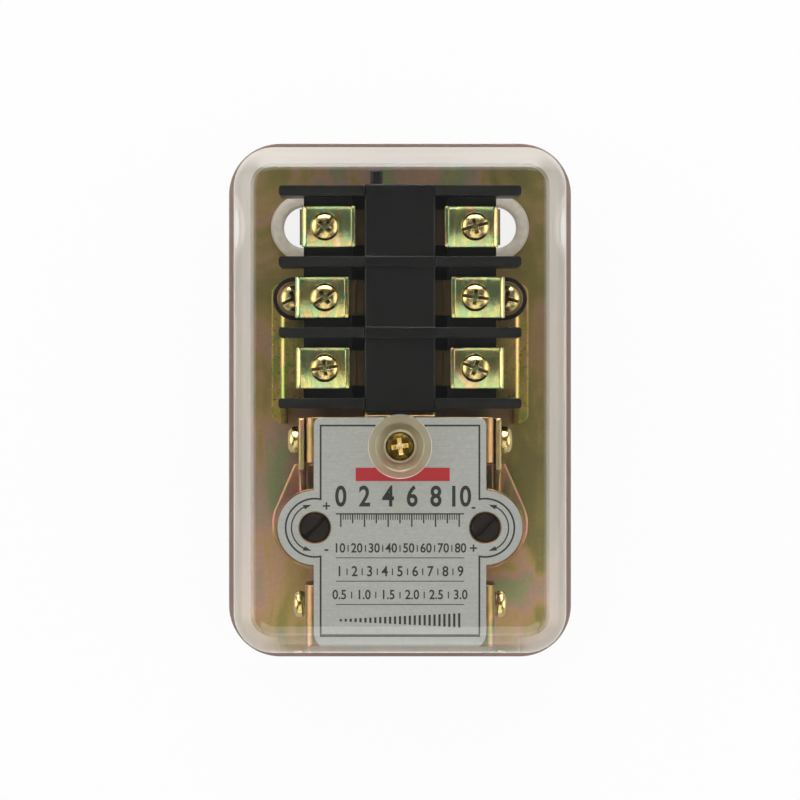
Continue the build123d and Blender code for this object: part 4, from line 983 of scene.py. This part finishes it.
dress(trayMetal, "base_tray")
dress(bracketMetal, "contact_bracket", "pressure_spring_nut", "differential_spring_nut")
dress(zincSheet, "frame_yoke", "support_bracket", "trip_rocker", "yoke_washers", "block_washers")
dress(leverMetal, "main_lever")
dress(phenolic, "contact_block", "contact_carrier", "piston")
dress(capPhenolic, "chamber_cap")
dress(dieCasting, "port_flange", "piston_guide")
dress(diaphragmRubber, "diaphragm")
dress(zincFastener, "stack_screws", "stack_nuts", "cover_nut", "rocker_pin")
dress(blackOxide, "pressure_adjuster", "differential_adjuster")
dress(springWire, "contact_springs", "return_springs", "toggle_springs")
dress(shadedContactBrass, *[f"{kind}_contact_{n}" for kind in ("moving", "line", "load") for n in (1, 2, 3)])
for name in nodes:
    if not nodes[name].hide_render:
        markSharp(nodes[name].data, 30)
print("CAD nodes dressed")


studio = {
    "floorSize": 6.0, "floorDrop": 0.0004, "whiteShare": 0.94, "diffuseLevel": 0.62,
    "lampPower": 1.6, "lampSize": 0.55, "lampHeight": 0.62, "lampOut": 0.62,
    # each lamp's place to the side and forward, as shares of lampOut, and its share of the power
    "lamps": {"leftSoftbox": (-1, 0.15, 1.0), "rightSoftbox": (1, -0.1, 0.75), "farSoftbox": (0, 1.0, 1.1)},
    "zenith": 0.14,
    # where each panel lies, the cosines of its inner and outer edge, and its brightness
    "panels": [
        ((-0.9, 0.1, 0.42), 0.92, 0.84, 2.6), ((0.9, 0.0, 0.42), 0.92, 0.84, 2.4),
        ((0.0, 0.9, 0.4), 0.88, 0.80, 8.5), ((0.0, -0.85, 0.5), 0.94, 0.87, 1.6),
        ((0.0, -0.4, 0.92), 0.958, 0.946, 2.0),
    ],
}
pureWhite = (1, 1, 1, 1)

floorMesh = bpy.data.meshes.new("studioFloor")
half = studio["floorSize"] / 2
corners = [(-half, -half, 0), (half, -half, 0), (half, half, 0), (-half, half, 0)]
floorMesh.from_pydata(corners, [], [(0, 1, 2, 3)])
floor = bpy.data.objects.new("studioFloor", floorMesh)
bpy.context.scene.collection.objects.link(floor)
floor.location.z = cadBox[0].z - studio["floorDrop"]
paper = bpy.data.materials.new("white paper sweep")
paper.use_nodes = True
tree = paper.node_tree
tree.nodes.clear()
share = addNode(tree, "ShaderNodeMath", {"operation": "MULTIPLY", 1: studio["whiteShare"]},
                {0: rayIs(tree, "Camera", "Glossy", "Transmission")})
matt = addNode(tree, "ShaderNodeBsdfDiffuse", {"Color": hexToLinear("f2f2f0")})
glow = addNode(tree, "ShaderNodeEmission", {"Color": pureWhite, "Strength": 1.0})
both = addNode(tree, "ShaderNodeMixShader", links={0: share, 1: matt, 2: glow})
addNode(tree, "ShaderNodeOutputMaterial", links={"Surface": both})
floorMesh.materials.append(paper)

world = bpy.data.worlds.new("studio")
bpy.context.scene.world = world
world.use_nodes = True
tree = world.node_tree
tree.nodes.clear()
heading = addNode(tree, "ShaderNodeTexCoord").outputs["Generated"]
parts = addNode(tree, "ShaderNodeSeparateXYZ", links={0: heading})
# polished metal and the cover's curves see bright, soft-edged panels round a darker ceiling
level = addNode(tree, "ShaderNodeMapRange", {
    "From Min": -0.1, "From Max": 0.85, "To Min": 1.0, "To Max": studio["zenith"],
    "interpolation_type": "SMOOTHSTEP"}, {"Value": parts.outputs["Z"]})
for aim, inner, outer, strength in studio["panels"]:
    facing = addNode(tree, "ShaderNodeVectorMath", {
        "operation": "DOT_PRODUCT", 1: Vector(aim).normalized()}, {0: heading})
    panel = addNode(tree, "ShaderNodeMapRange", {
        "From Min": outer, "From Max": inner, "To Max": strength,
        "interpolation_type": "SMOOTHSTEP"}, {"Value": facing.outputs["Value"]})
    level = addNode(tree, "ShaderNodeMath", {"operation": "ADD"}, {0: level, 1: panel})
mirrored = addNode(tree, "ShaderNodeBackground", {"Color": pureWhite}, {"Strength": level})
soft = addNode(tree, "ShaderNodeBackground", {"Color": pureWhite, "Strength": studio["diffuseLevel"]})
white = addNode(tree, "ShaderNodeBackground", {"Color": pureWhite, "Strength": 1.0})
first = addNode(tree, "ShaderNodeMixShader", links={0: rayIs(tree, "Glossy"), 1: soft, 2: mirrored})
second = addNode(tree, "ShaderNodeMixShader",
                 links={0: rayIs(tree, "Camera", "Transmission"), 1: first, 2: white})
addNode(tree, "ShaderNodeOutputWorld", links={"Surface": second})

centre = (cadBox[0] + cadBox[1]) / 2
for name, (side, forward, power) in studio["lamps"].items():
    light = bpy.data.lights.new(name, "AREA")
    light.shape, light.size, light.size_y = "RECTANGLE", studio["lampSize"], studio["lampSize"] * 1.3
    light.energy = studio["lampPower"] * power
    lamp = bpy.data.objects.new(name, light)
    bpy.context.scene.collection.objects.link(lamp)
    out = studio["lampOut"]
    lamp.location = centre + Vector((side * out, forward * out, studio["lampHeight"]))
    lamp.rotation_euler = (centre - lamp.location).to_track_quat("-Z", "Y").to_euler()

cameraValues = {"distance": 0.9, "lens": 173.1}  # metres above the tray's rim, and millimetres
camera = bpy.data.objects.new("camera", bpy.data.cameras.new("camera"))
bpy.context.scene.collection.objects.link(camera)
trayTop, trayMiddle = boxOf("base_tray")[1:]
camera.location = (0.0, trayMiddle.y, trayTop.z + cameraValues["distance"])
camera.data.lens = cameraValues["lens"]
camera.data.clip_start, camera.data.clip_end = 0.05, 20
bpy.context.scene.camera = camera
bpy.context.scene.view_settings.view_transform = "Standard"
print("studio made")
